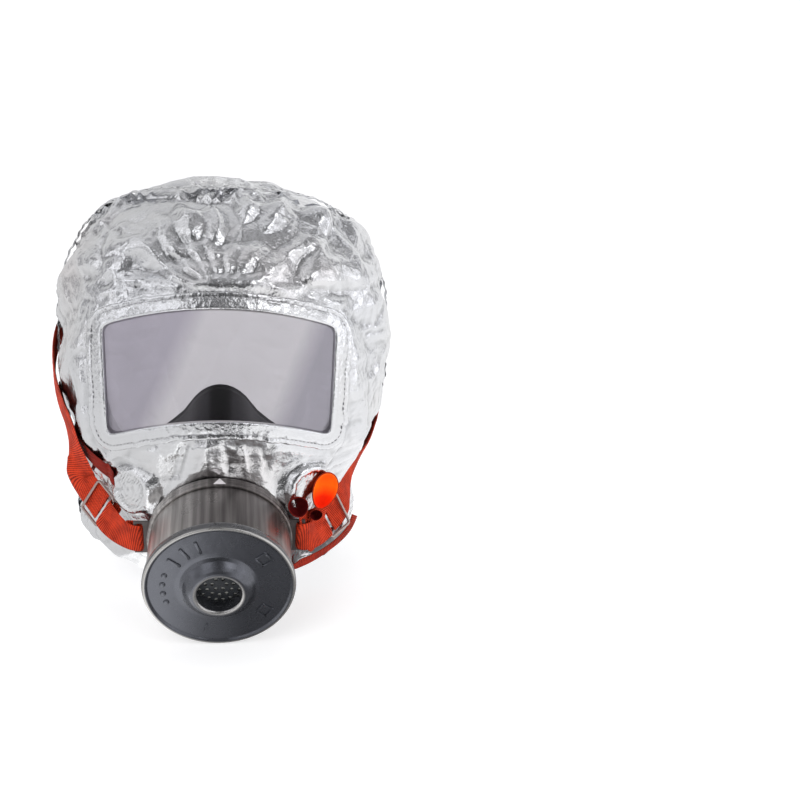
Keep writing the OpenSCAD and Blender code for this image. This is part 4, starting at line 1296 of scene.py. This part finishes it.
def half_mask():
    """Rubber shell from a flat flange at the port out to the face."""
    columns, thickness = 144, 2.2
    hole, flange, flange_z = 18.6, 30, -0.35
    turn = np.arange(columns) * 2 * math.pi / columns
    c, s = np.cos(turn), np.sin(turn)
    rim = on_port(flange * c, flange * s, flange_z)
    fullness = np.where(s > 0, blend(13, 8, s), blend(13, 2, -s))
    nose = np.exp(-((turn - math.pi / 2) / 0.16) ** 2)
    rows = []
    for v in np.concatenate([np.linspace(-1, 0, 6), np.linspace(0.02, 1, 44)]):
        if v <= 0:
            radius = hole + (flange - hole) * (1 + v)
            rows.append(on_port(radius * c, radius * s, flange_z))
            continue
        bulge = math.sin(math.pi * v)
        row = rim * (1 - v) + mask_edge(turn) * v
        row = row + (fullness * bulge)[:, None] * np.stack(
            [0.25 * c, np.full(columns, -0.9), 0.2 * s], 1)
        row[:, 1] -= 2.0 * bulge * nose         # soft nose ridge
        rows.append(row)
    outer = np.array(rows)
    # outward normal: the direction up the rows crossed with the direction round them
    normals = unit(np.cross(np.gradient(outer, axis=0),
                            np.roll(outer, -1, 1) - np.roll(outer, 1, 1)))
    inner = outer - normals * thickness
    count = len(rows) * columns
    faces = (grid_faces(len(rows), columns, wrap=True)
             + grid_faces(len(rows), columns, wrap=True, base=count, flip=True))
    edge = (len(rows) - 1) * columns
    for j in range(columns):
        k = (j + 1) % columns
        faces.append((j, j + count, k + count, k))
        faces.append((edge + j, edge + k, edge + k + count, edge + j + count))
    points = np.concatenate([outer.reshape(-1, 3), inner.reshape(-1, 3)])
    register(make_solid("half_mask_shell", points, faces, MATERIALS["rubber"]),
             "mask_rubber", "half_mask")


half_mask()

# ------------------------------------------------------------------ clamp ring and canister
CLAMP_RADIUS = 44.5
CLAMP_BORE = 17.8 + 0.3     # clears the connector tube
SHELL_RADIUS = 43.0
RIM_RADIUS = 45.2           # rolled rim of the lid
INTAKE_RADIUS = 13.0
LID_FACE = 49.03            # z of the lid's flat face, where the marks stand


def clamp_and_canister():
    """Three turned pieces; profiles are (radius, z) in the port frame."""
    c, s, r = CLAMP_RADIUS, SHELL_RADIUS, RIM_RADIUS
    clamp = [[CLAMP_BORE, 3.1], [41, 3.1], [41, 1.3], [c - 0.5, 1.3], [c, 1.9], [c, 4.6],
             [c - 0.35, 4.9], [c - 0.35, 5.3], [c, 5.6], [c, 7.9], [c - 0.7, 8.6],
             [CLAMP_BORE, 8.6]]
    shell = [[s - 3, 8.9], [s - 0.6, 8.9], [s, 9.5], [s + 0.25, 22], [s + 0.45, 34],
             [s + 0.7, 47.9], [s - 0.9, 47.9], [s - 1.6, 10.6], [s - 3, 10.2]]
    lid = [[r - 1.1, 44.6], [r - 0.3, 44.6], [r - 0.1, 46], [r, 47.4], [r + 0.05, 48.6],
           [r - 0.3, 49.7], [r - 1.2, 50.4], [r - 2.2, 50.3], [r - 2.9, 49.6], [r - 3.5, 48.9],
           [26, 49.3], [23.5, 49.8], [21.5, 51.2], [19.4, 54], [17.6, 56], [16.2, 57.1],
           [15.2, 57.4], [14.2, 57.2], [13.4, 56.5], [INTAKE_RADIUS, 55.5],
           [INTAKE_RADIUS, 47.4], [INTAKE_RADIUS + 2, 47.4], [INTAKE_RADIUS + 2, 53.6],
           [17.8, 52.4], [20.6, 48.6], [23, 48], [r - 4.6, 47.4], [r - 4, 48.1],
           [r - 1.1, 48.3]]
    register(lathe("clamp_ring_moulding", soft_round(clamp, 0.3), MATERIALS["gun"], 200),
             "black_plastic", "clamp_ring")
    register(lathe("canister_body_shell", soft_round(shell, 0.3), MATERIALS["gun"], 220),
             "black_plastic", "canister_shell", body="canister")
    register(lathe("canister_front_lid", soft_round(lid, 0.5, 4), MATERIALS["lid"], 240),
             "black_plastic", "canister_lid", body="canister")


def lid_marks():
    """Raised marks on the lid: rounded bars, studs, two open squares and a tick."""
    parts = []

    def mark(degrees, radius, width, length, corner, height=0.95, offset=(0, 0)):
        """Pad turned with its place on the lid; the offset is turned too."""
        turn = math.radians(degrees)
        c, s = math.cos(turn), math.sin(turn)
        outline = rounded_rectangle(-width / 2, width / 2, -length / 2, length / 2, corner, 4)
        reach = np.maximum(np.hypot(outline[:, 0], outline[:, 1]), 0.5)[:, None]
        centre_x = radius * c + offset[0] * c - offset[1] * s
        centre_y = radius * s + offset[0] * s + offset[1] * c
        rings = []
        for rise, grow in ((0, 0.35), (height * 0.7, 0.1), (height, -0.2)):
            x, y = (outline * (1 + grow / reach)).T
            rings.append(on_port(centre_x + x * c - y * s, centre_y + x * s + y * c,
                                 LID_FACE + rise))
        parts.append(np.array(rings))
    for degrees in (112, 128, 144):
        mark(degrees, 32, 9, 1.7, corner=0.6)
    for degrees in (164, 176, 188, 200):
        mark(degrees, 33, 3.0, 3.0, corner=1.4)
    for degrees in (38, -36):
        for offset, width, length in (((0, 3.4), 8, 1.2), ((0, -3.4), 8, 1.2),
                                      ((3.4, 0), 1.2, 8), ((-3.4, 0), 1.2, 8)):
            mark(degrees, 33, width, length, corner=0.5, height=0.85, offset=offset)
    mark(-104, 33.5, 6, 1.5, corner=0.6)
    marks = make_tubes("lid_raised_marks", parts, MATERIALS["lid"])
    sharpen(marks, 50)
    register(marks, "black_plastic", "lid_marks", body="canister")


clamp_and_canister()
lid_marks()

# ------------------------------------------------------------------ wire rings
WIRE_RADIUS = 0.95
RING_CLEAR = 22.0           # clear width between the long sides
RING_PITCH = 18.0           # between the centres of the inner and outer bars
Ring = namedtuple("Ring", "side origin across along normal")


def make_ring(side, origin, along, rough_across):
    along, rough_across = unit(along), np.array(rough_across)
    across = unit(rough_across - (rough_across @ along) * along)
    return Ring(side, np.array(origin), across, along, np.cross(across, along))


RINGS = (make_ring("left", [-71.5, -79.5, 64.5], [-10.6, 11, 9.5], [0.60, -0.34, 0.80]),
         make_ring("right", [65.5, -83.5, 58.0], [12.6, 10.5, 6.6], [0.50, 0.1, -0.86]))


def in_ring(ring, x, y, z):
    return ring.origin + x * ring.across + y * ring.along + z * ring.normal


def wire_ring(ring):
    half = RING_CLEAR / 2 + WIRE_RADIUS
    corners = rounded_rectangle(-half, half, 0, RING_PITCH, 2.4, 8)
    path = []
    for start, end in zip(corners, np.roll(corners, -1, 0)):
        pieces = max(1, int(np.linalg.norm(end - start) / 1.5))
        for j in range(pieces):
            x, y = start + (end - start) * j / pieces
            path.append(in_ring(ring, x, y, 0))
    wire = wire_loop("harness_wire_ring_" + ring.side, path, WIRE_RADIUS, MATERIALS["wire"])
    register(wire, "ring_wire", "wire_ring_" + ring.side, body="ring_" + ring.side)


for ring in RINGS:
    wire_ring(ring)

# ------------------------------------------------------------------ webbing
WEB_WIDTH, WEB_THICKNESS = 20, 1.3
WIRE_GAP = 0.35             # between the wire and the webbing round it
RIB_PITCH, RIB_HEIGHT = 1.35, 0.13


def webbing(name, centres, across, normals, width, material, thickness=WEB_THICKNESS,
            curl=None, turning=False):
    """Ribbed webbing along coarse stations, refined to follow the ribs.

    The width may be a function of the share of the length. The curl gives an extra height
    from the share and the place across. A turning web keeps one side up as it goes round
    a bar and has no cords; any other takes its side from the normals at each station.
    """
    coarse = run_length(centres)
    count = max(8, int(coarse[-1] / (0.5 if turning else 0.62)))
    run = np.linspace(0, coarse[-1], count)
    places = np.interp(run, coarse, np.arange(len(centres)))
    centres, across = catmull_rom(centres, places), catmull_rom(across, places)
    along = unit(np.gradient(centres, axis=0))
    across = unit(across - (across * along).sum(1, keepdims=True) * along)
    upright = np.cross(along, across)
    agree = (upright * catmull_rom(normals, places)).sum(1, keepdims=True)
    if turning:
        agree = agree.sum()
    upright = upright * np.where(agree < 0, -1, 1)
    share = run / coarse[-1]
    width = np.broadcast_to(width(share) if callable(width) else width, count)
    x, edge = band_edge(15, 6)
    flat_x = x * width[:, None]
    relief = (RIB_HEIGHT * np.sin(2 * math.pi * run[:, None] / RIB_PITCH + 1.1 * flat_x)
              * (np.abs(x) < 0.46))
    if curl:
        relief = relief + curl(share[:, None], x)
    cords = 0 if turning else 0.5 * RIB_HEIGHT * np.sin(2 * math.pi * flat_x / 1.9)
    return band(name, centres, across, upright, run, width,
                thickness * (0.5 + 0.5 * edge) + relief + cords,
                thickness * (0.5 - 0.5 * edge) + relief, MATERIALS[material])


def lay_frame(line, share):
    """Points, across directions and normals of a strap line."""
    q = catmull_rom(line, np.asarray(share, float) * (len(line) - 1))
    normals = hood_normal(np.radians(q[..., 0]), q[..., 1])
    step = 0.006
    ahead = lay(line, np.minimum(share + step, 1)) - lay(line, np.maximum(share - step, 0))
    return lay(line, share), unit(np.cross(normals, ahead)), normals


def head_strap(ring):
    """Long strap from inside the ring, under its outer bar and round the back of the hood."""
    side, right = ring.side, ring.side == "right"
    share = np.linspace(0, 1, 70)
    points, across, normals = lay_frame(HEAD_STRAPS[side], share)
    # near the ring the strap lies as the ring does
    sign = np.where((across * ring.across).sum(1, keepdims=True) < 0, -1, 1)
    pull = (0.85 * (1 - smoothstep(share / 0.22)))[:, None]
    across = unit(across * (1 - pull) + sign * ring.across * pull)
    if right:
        points = points - np.array([2.0, 0, 0]) * np.exp(-((share - 0.08) / 0.08) ** 2)[:, None]
    under = -(WIRE_RADIUS + WIRE_GAP + WEB_THICKNESS)
    lead = [in_ring(ring, 0, y, under + rise) for y, rise in (
        (5.2, 1.5), (9.0, 0.5), (13.5, 0.05), (RING_PITCH, 0), (RING_PITCH + 4.5, 0.2))]
    start = ring.across * (1 if across[0] @ ring.across > 0 else -1)
    centres = np.concatenate([lead, points])
    across = np.concatenate([[start] * len(lead), across])
    normals = np.concatenate([[ring.normal] * len(lead), normals])
    # smooth the run from the ring on to the hood
    for _ in range(5):
        centres[1:12] = 0.25 * centres[:11] + 0.5 * centres[1:12] + 0.25 * centres[2:13]

    def waisted(share):
        """The right strap is drawn narrow near its ring."""
        return WEB_WIDTH - 6.0 * np.exp(-((share - 0.16) / 0.07) ** 2)
    strap = webbing("head_strap_webbing_" + side, centres, across, normals,
                    waisted if right else WEB_WIDTH, "web")
    register(strap, "webbing", "head_strap_" + side, "strap_loop_" + side, body=None)
    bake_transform(strap)


def short_strap(ring):
    """Short strap from the lug at the clamp ring to the inner bar of the wire ring."""
    side = -1 if ring.side == "left" else 1
    bar = WIRE_RADIUS + WIRE_GAP
    ring_across = ring.across if ring.across @ PORT_UP > 0 else -ring.across
    lug = on_port(side * np.array([57, 53, 49.2, 47.8, 47.7]), 0, [-1.2, -0.9, -0.6, 0.9, 1.9])
    share = np.linspace(0, 1, 26)[:, None]
    span = bezier([on_port(side * 48.4, 0, 3.3), on_port(side * 56, 0, 4.6),
                   in_ring(ring, 0, -8, bar + 0.9), in_ring(ring, 0, -1.0, bar + 0.15)], share)
    turn = [in_ring(ring, 0, bar * math.sin(a), bar * math.cos(a))
            for a in np.linspace(0.35, math.pi, 11)]
    back = [in_ring(ring, 0, -y, -bar - 0.1) for y in (2.0, 4.0, 6.5)]
    centres = np.concatenate([lug, span, turn, back])
    across = np.concatenate([[PORT_UP] * len(lug), blend(PORT_UP, ring_across, smoothstep(share)),
                             [ring_across] * (len(turn) + len(back))])
    normals = np.cross(unit(np.gradient(centres, axis=0)), unit(across))
    if normals[len(lug) + 13] @ ring.normal < 0:        # middle of the free span
        normals = -normals
    strap = webbing("short_strap_webbing_" + ring.side, centres, across, normals, WEB_WIDTH,
                    "web", turning=True)
    register(strap, "webbing", "short_strap_" + ring.side)


def laid_straps():
    """Straps that simply follow a line on the hood."""
    # name, line, samples, width, thickness, material, slot, replaced piece
    table = (
        ("strap_second_layer_left", LEFT_TAIL, 30, 12, 1.1, "web_dark", "dark_webbing",
         "strap_tail_left"),
        ("strap_free_tail_right", RIGHT_TAIL, 40, 11, 1.3, "web_mid", "webbing",
         "strap_tail_right"),
        ("strap_joint_cover", JOINT_LINE, 24, 23.5, 1.1, "web_dark", "dark_webbing",
         "strap_joint_patch"))
    for name, line, samples, width, thickness, material, slot, replaced in table:
        frame_at = lay_frame(line, np.linspace(0, 1, samples))
        register(webbing(name, *frame_at, width, material, thickness), slot, replaced)


def curl_cup(name, centre, up, half_width, half_height, depth, inside, rim, lean=0.0):
    """Curled loop of webbing seen end-on: a rim and a smooth hollow facing the front."""
    centre = np.asarray(centre, float)
    out = unit([0.05, -0.965, 0.25])
    up = np.asarray(up, float)
    up = unit(up - (up @ out) * out)
    across = np.cross(up, out)
    segments = 72
    # (share of radius, height): outside from the bottom up, then inside from the rim down
    profile = [(0.0, -depth), (0.5, -depth), (0.80, -depth * 0.9), (0.97, -depth * 0.55),
               (1.01, -0.5), (1.0, 0.0), (0.93, 0.15), (0.86, -0.2), (0.82, -depth * 0.30),
               (0.66, -depth * 0.50), (0.40, -depth * 0.62), (0.0, -depth * 0.66)]
    first_inside = 6
    turn = np.arange(segments)[:, None] * 2 * math.pi / segments
    c, s = np.cos(turn), np.sin(turn)
    points, rings = [], []
    for radius, z in profile:
        if radius == 0:
            rings.append([len(points)] * segments)
            points.append(centre + out * z)
            continue
        rings.append(range(len(points), len(points) + segments))
        points.extend(centre + across * (radius * half_width * (1 + 0.10 * s) * c + lean * s)
                      + up * (radius * half_height * s)
                      + out * (z + 0.9 * np.sin(2 * turn + 0.6)))
    faces, slots = [], []
    for i in range(len(profile) - 1):
        here, above = rings[i], rings[i + 1]
        for k in range(segments):
            n = (k + 1) % segments
            face = (here[n], here[k], above[k], above[n])
            if i == 0:
                face = face[1:]
            elif i == len(profile) - 2:
                face = face[:3]
            faces.append(face)
            slots.append(1 if i >= first_inside else 0)
    cup = make_object(name, points, faces, MATERIALS[rim])
    cup.data.materials.append(MATERIALS[inside])
    cup.data.polygons.foreach_set("material_index", slots)
    fix_normals(cup)
    add_flat_coordinates(cup, [(k * 0.6, 0) for k in range(len(points))])
    rounding = cup.modifiers.new("round", "SUBSURF")
    rounding.levels = rounding.render_levels = 1
    register(cup, "webbing")


def right_cluster():
    """Curled loops and a tapering flap of webbing beside the right ring."""
    curl_cup("strap_curl_right", (64.5, -104.2, 86.7), up=(0.25, 0.2, 0.94), half_width=7.6,
             half_height=12.0, depth=12, inside="web_smooth", rim="web", lean=0.6)
    curl_cup("strap_curl_small_right", (47.7, -115.6, 80.2), up=(-0.3, 0.2, 0.93),
             half_width=6.2, half_height=6.4, depth=10, inside="web_maroon", rim="web_dark")
    curl_cup("strap_curl_low_right", (59.2, -105.0, 71.0), up=(-0.1, 0.2, 0.95),
             half_width=4.2, half_height=3.4, depth=8, inside="web_maroon", rim="web")
    centres = np.array([[56.5, -100.0, 73.0], [56.8, -99.5, 66.0], [57.2, -97.5, 57.0],
                        [57.6, -94.5, 48.0], [57.8, -92.5, 42.5]])
    across = np.tile(unit([0.70, 0.66, -0.22]), (len(centres), 1))
    normals = np.cross(unit(np.gradient(centres, axis=0)), across)
    normals = normals * np.where(normals[:, 1:2] < 0, 1, -1)
    flap = webbing("strap_return_flap_right", centres, across, normals,
                   lambda share: 24.0 * (1 - share) ** 0.8 + 3.0, "web",
                   curl=lambda share, x: 2.2 * (2 * x) ** 2 * (1 - share) - 1.0)
    register(flap, "webbing")


for ring in RINGS:
    head_strap(ring)
    short_strap(ring)
laid_straps()
right_cluster()


# ------------------------------------------------------------------ stage
def floor_material():
    """Pale floor; reflections see bright and dark upright bands instead."""
    material, shader = new_material("pale_floor", (0.58, 0.58, 0.585), 0.9)
    glossy = shader.node("LightPath").outputs["Is Glossy Ray"]
    place = shader.separate(shader.node("NewGeometry").outputs["Position"])
    bands = shader.ramp(
        shader.map_range(place["X"], -0.25, 0.25),
        (0.0, 0.42), (0.33, 0.42), (0.385, 1.0), (0.43, 0.95), (0.48, 0.30), (0.53, 0.03),
        (0.68, 0.03), (0.82, 0.75), (1.0, 0.60))
    glow = shader.node("MapRange", Value=glossy, To_Min=0.60,
                       To_Max=shader.math("MULTIPLY", bands, 1.25))
    shader.set(
        Base_Color=shader.mix_colours(glossy, (0.58, 0.58, 0.585, 1), (0.20, 0.20, 0.205, 1)),
        Emission_Strength=glow.outputs["Result"], Emission_Color=(1, 1, 1, 1),
        Specular_IOR_Level=0.1)
    return material


def cyclorama():
    """Floor that curves up into a back wall."""
    half_width, front, bend, radius, wall_top = 5000, -3000, 1600, 900, 4000
    profile = [(front, 0), (bend, 0)]
    for k in range(1, 13):
        a = math.radians(90 * k / 12)
        profile.append((bend + radius * math.sin(a), radius * (1 - math.cos(a))))
    profile.append((bend + radius, wall_top))
    points = [(x, y, z) for y, z in profile for x in (-half_width, half_width)]
    floor = make_object("floor", points, grid_faces(len(profile), 2), floor_material())
    floor.location.z = min(0.0, cad_box[0][2]) - 0.0002


# Soft lights of the world: direction, full inside this angle, nothing outside this angle,
# brightness
WORLD_LIGHTS = (
    ((-0.80, -0.50, 0.22), 24, 42, 1.10), ((0.80, -0.50, 0.24), 24, 44, 1.05),
    ((-0.85, 0.25, 0.45), 18, 44, 0.50), ((0.85, 0.25, 0.45), 18, 46, 0.60),
    ((0.0, -0.20, 0.98), 26, 64, 0.35), ((0.0, 0.85, 0.52), 22, 60, 0.34),
    ((-0.42, -0.72, 0.72), 6, 16, 0.65), ((0.50, -0.62, 0.75), 7, 20, 0.90),
    ((-0.18, -0.10, 0.97), 4, 12, 0.50), ((0.25, 0.30, 0.90), 5, 13, 0.50),
    ((-0.5, 0.1, 0.85), 5, 14, 0.6))


def studio_world():
    """Soft lights on a dim ground, and plain near-white to the camera."""
    world = bpy.data.worlds.new("studio")
    bpy.context.scene.world = world
    world.use_nodes = True
    shader = Shader(world.node_tree)
    direction = shader.node("TexCoord").outputs["Generated"]
    total = None
    for towards, full, nothing, brightness in WORLD_LIGHTS:
        facing = shader.vector_number("DOT_PRODUCT", direction,
                                      tuple(Vector(towards).normalized()))
        light = shader.map_range(
            facing, math.cos(math.radians(nothing)), math.cos(math.radians(full)),
            To_Min=0.0, To_Max=brightness, interpolation_type="SMOOTHSTEP")
        total = light if total is None else shader.math("ADD", total, light)
    total = shader.math("ADD", total, 0.065)
    # uneven brightness, so that creases pick up crisp light and dark flecks
    flecks = shader.map_range(shader.noise(direction, Scale=3.4, Detail=3.0), 0.36, 0.60,
                              To_Min=0.22, To_Max=1.02, interpolation_type="SMOOTHSTEP")
    grey = shader.math("MULTIPLY", total, flecks)
    blue = shader.math("MULTIPLY", grey, 1.03)
    colour = shader.node("CombineColor", Red=grey, Green=grey, Blue=blue).outputs[0]
    to_camera = shader.node("LightPath").outputs["Is Camera Ray"]
    background = shader.tree.nodes["Background"].inputs
    shader.feed(background["Color"],
                shader.mix_colours(to_camera, colour, (0.95, 0.95, 0.955, 1)))
    background["Strength"].default_value = 1.0


def area_light(name, location, target, size, power):
    """Rectangular light kept out of reflections; metres and watts."""
    light = bpy.data.lights.new(name, "AREA")
    light.shape = "RECTANGLE"
    light.size, light.size_y = size
    light.energy = power
    lamp = bpy.data.objects.new(name, light)
    bpy.context.scene.collection.objects.link(lamp)
    lamp.location = location
    lamp.visible_glossy = False
    towards = Vector(target) - Vector(location)
    lamp.rotation_euler = towards.to_track_quat("-Z", "Y").to_euler()


def add_camera():
    """Looks along +Y and down, a little to the right, with a slight roll."""
    camera = bpy.data.objects.new("camera", bpy.data.cameras.new("camera"))
    bpy.context.scene.collection.objects.link(camera)
    bpy.context.scene.camera = camera
    camera.data.sensor_width = 36
    camera.data.lens = 55.64115
    camera.data.clip_start = 0.01
    yaw, pitch, roll = 0.1365, -0.2576, 0.036
    forward = Vector((math.sin(yaw) * math.cos(pitch), math.cos(yaw) * math.cos(pitch),
                      math.sin(pitch)))
    level = Vector((math.cos(yaw), -math.sin(yaw), 0))
    upright = level.cross(forward)
    right = level * math.cos(roll) + upright * math.sin(roll)
    up = -level * math.sin(roll) + upright * math.cos(roll)
    camera.rotation_euler = Matrix((right, up, -forward)).transposed().to_euler()
    camera.location = Vector((0.0095641, -0.8314255, 0.3385962))


cyclorama()
studio_world()
area_light("soft_left", (-1.05, -0.75, 0.50), target=(0, 0, 0.13), size=(0.5, 0.9), power=3.6)
area_light("soft_right", (1.05, -0.80, 0.50), target=(0, 0, 0.13), size=(0.5, 0.9), power=4.2)
area_light("soft_top", (0.0, 0.10, 1.25), target=(0, 0, 0.15), size=(0.8, 0.6), power=3.0)
area_light("soft_front", (-0.25, -1.1, 0.9), target=(0, 0, 0.14), size=(0.5, 0.5), power=2.6)
add_camera()
bpy.context.scene.view_settings.view_transform = "Standard"
bpy.context.scene.view_settings.look = "None"
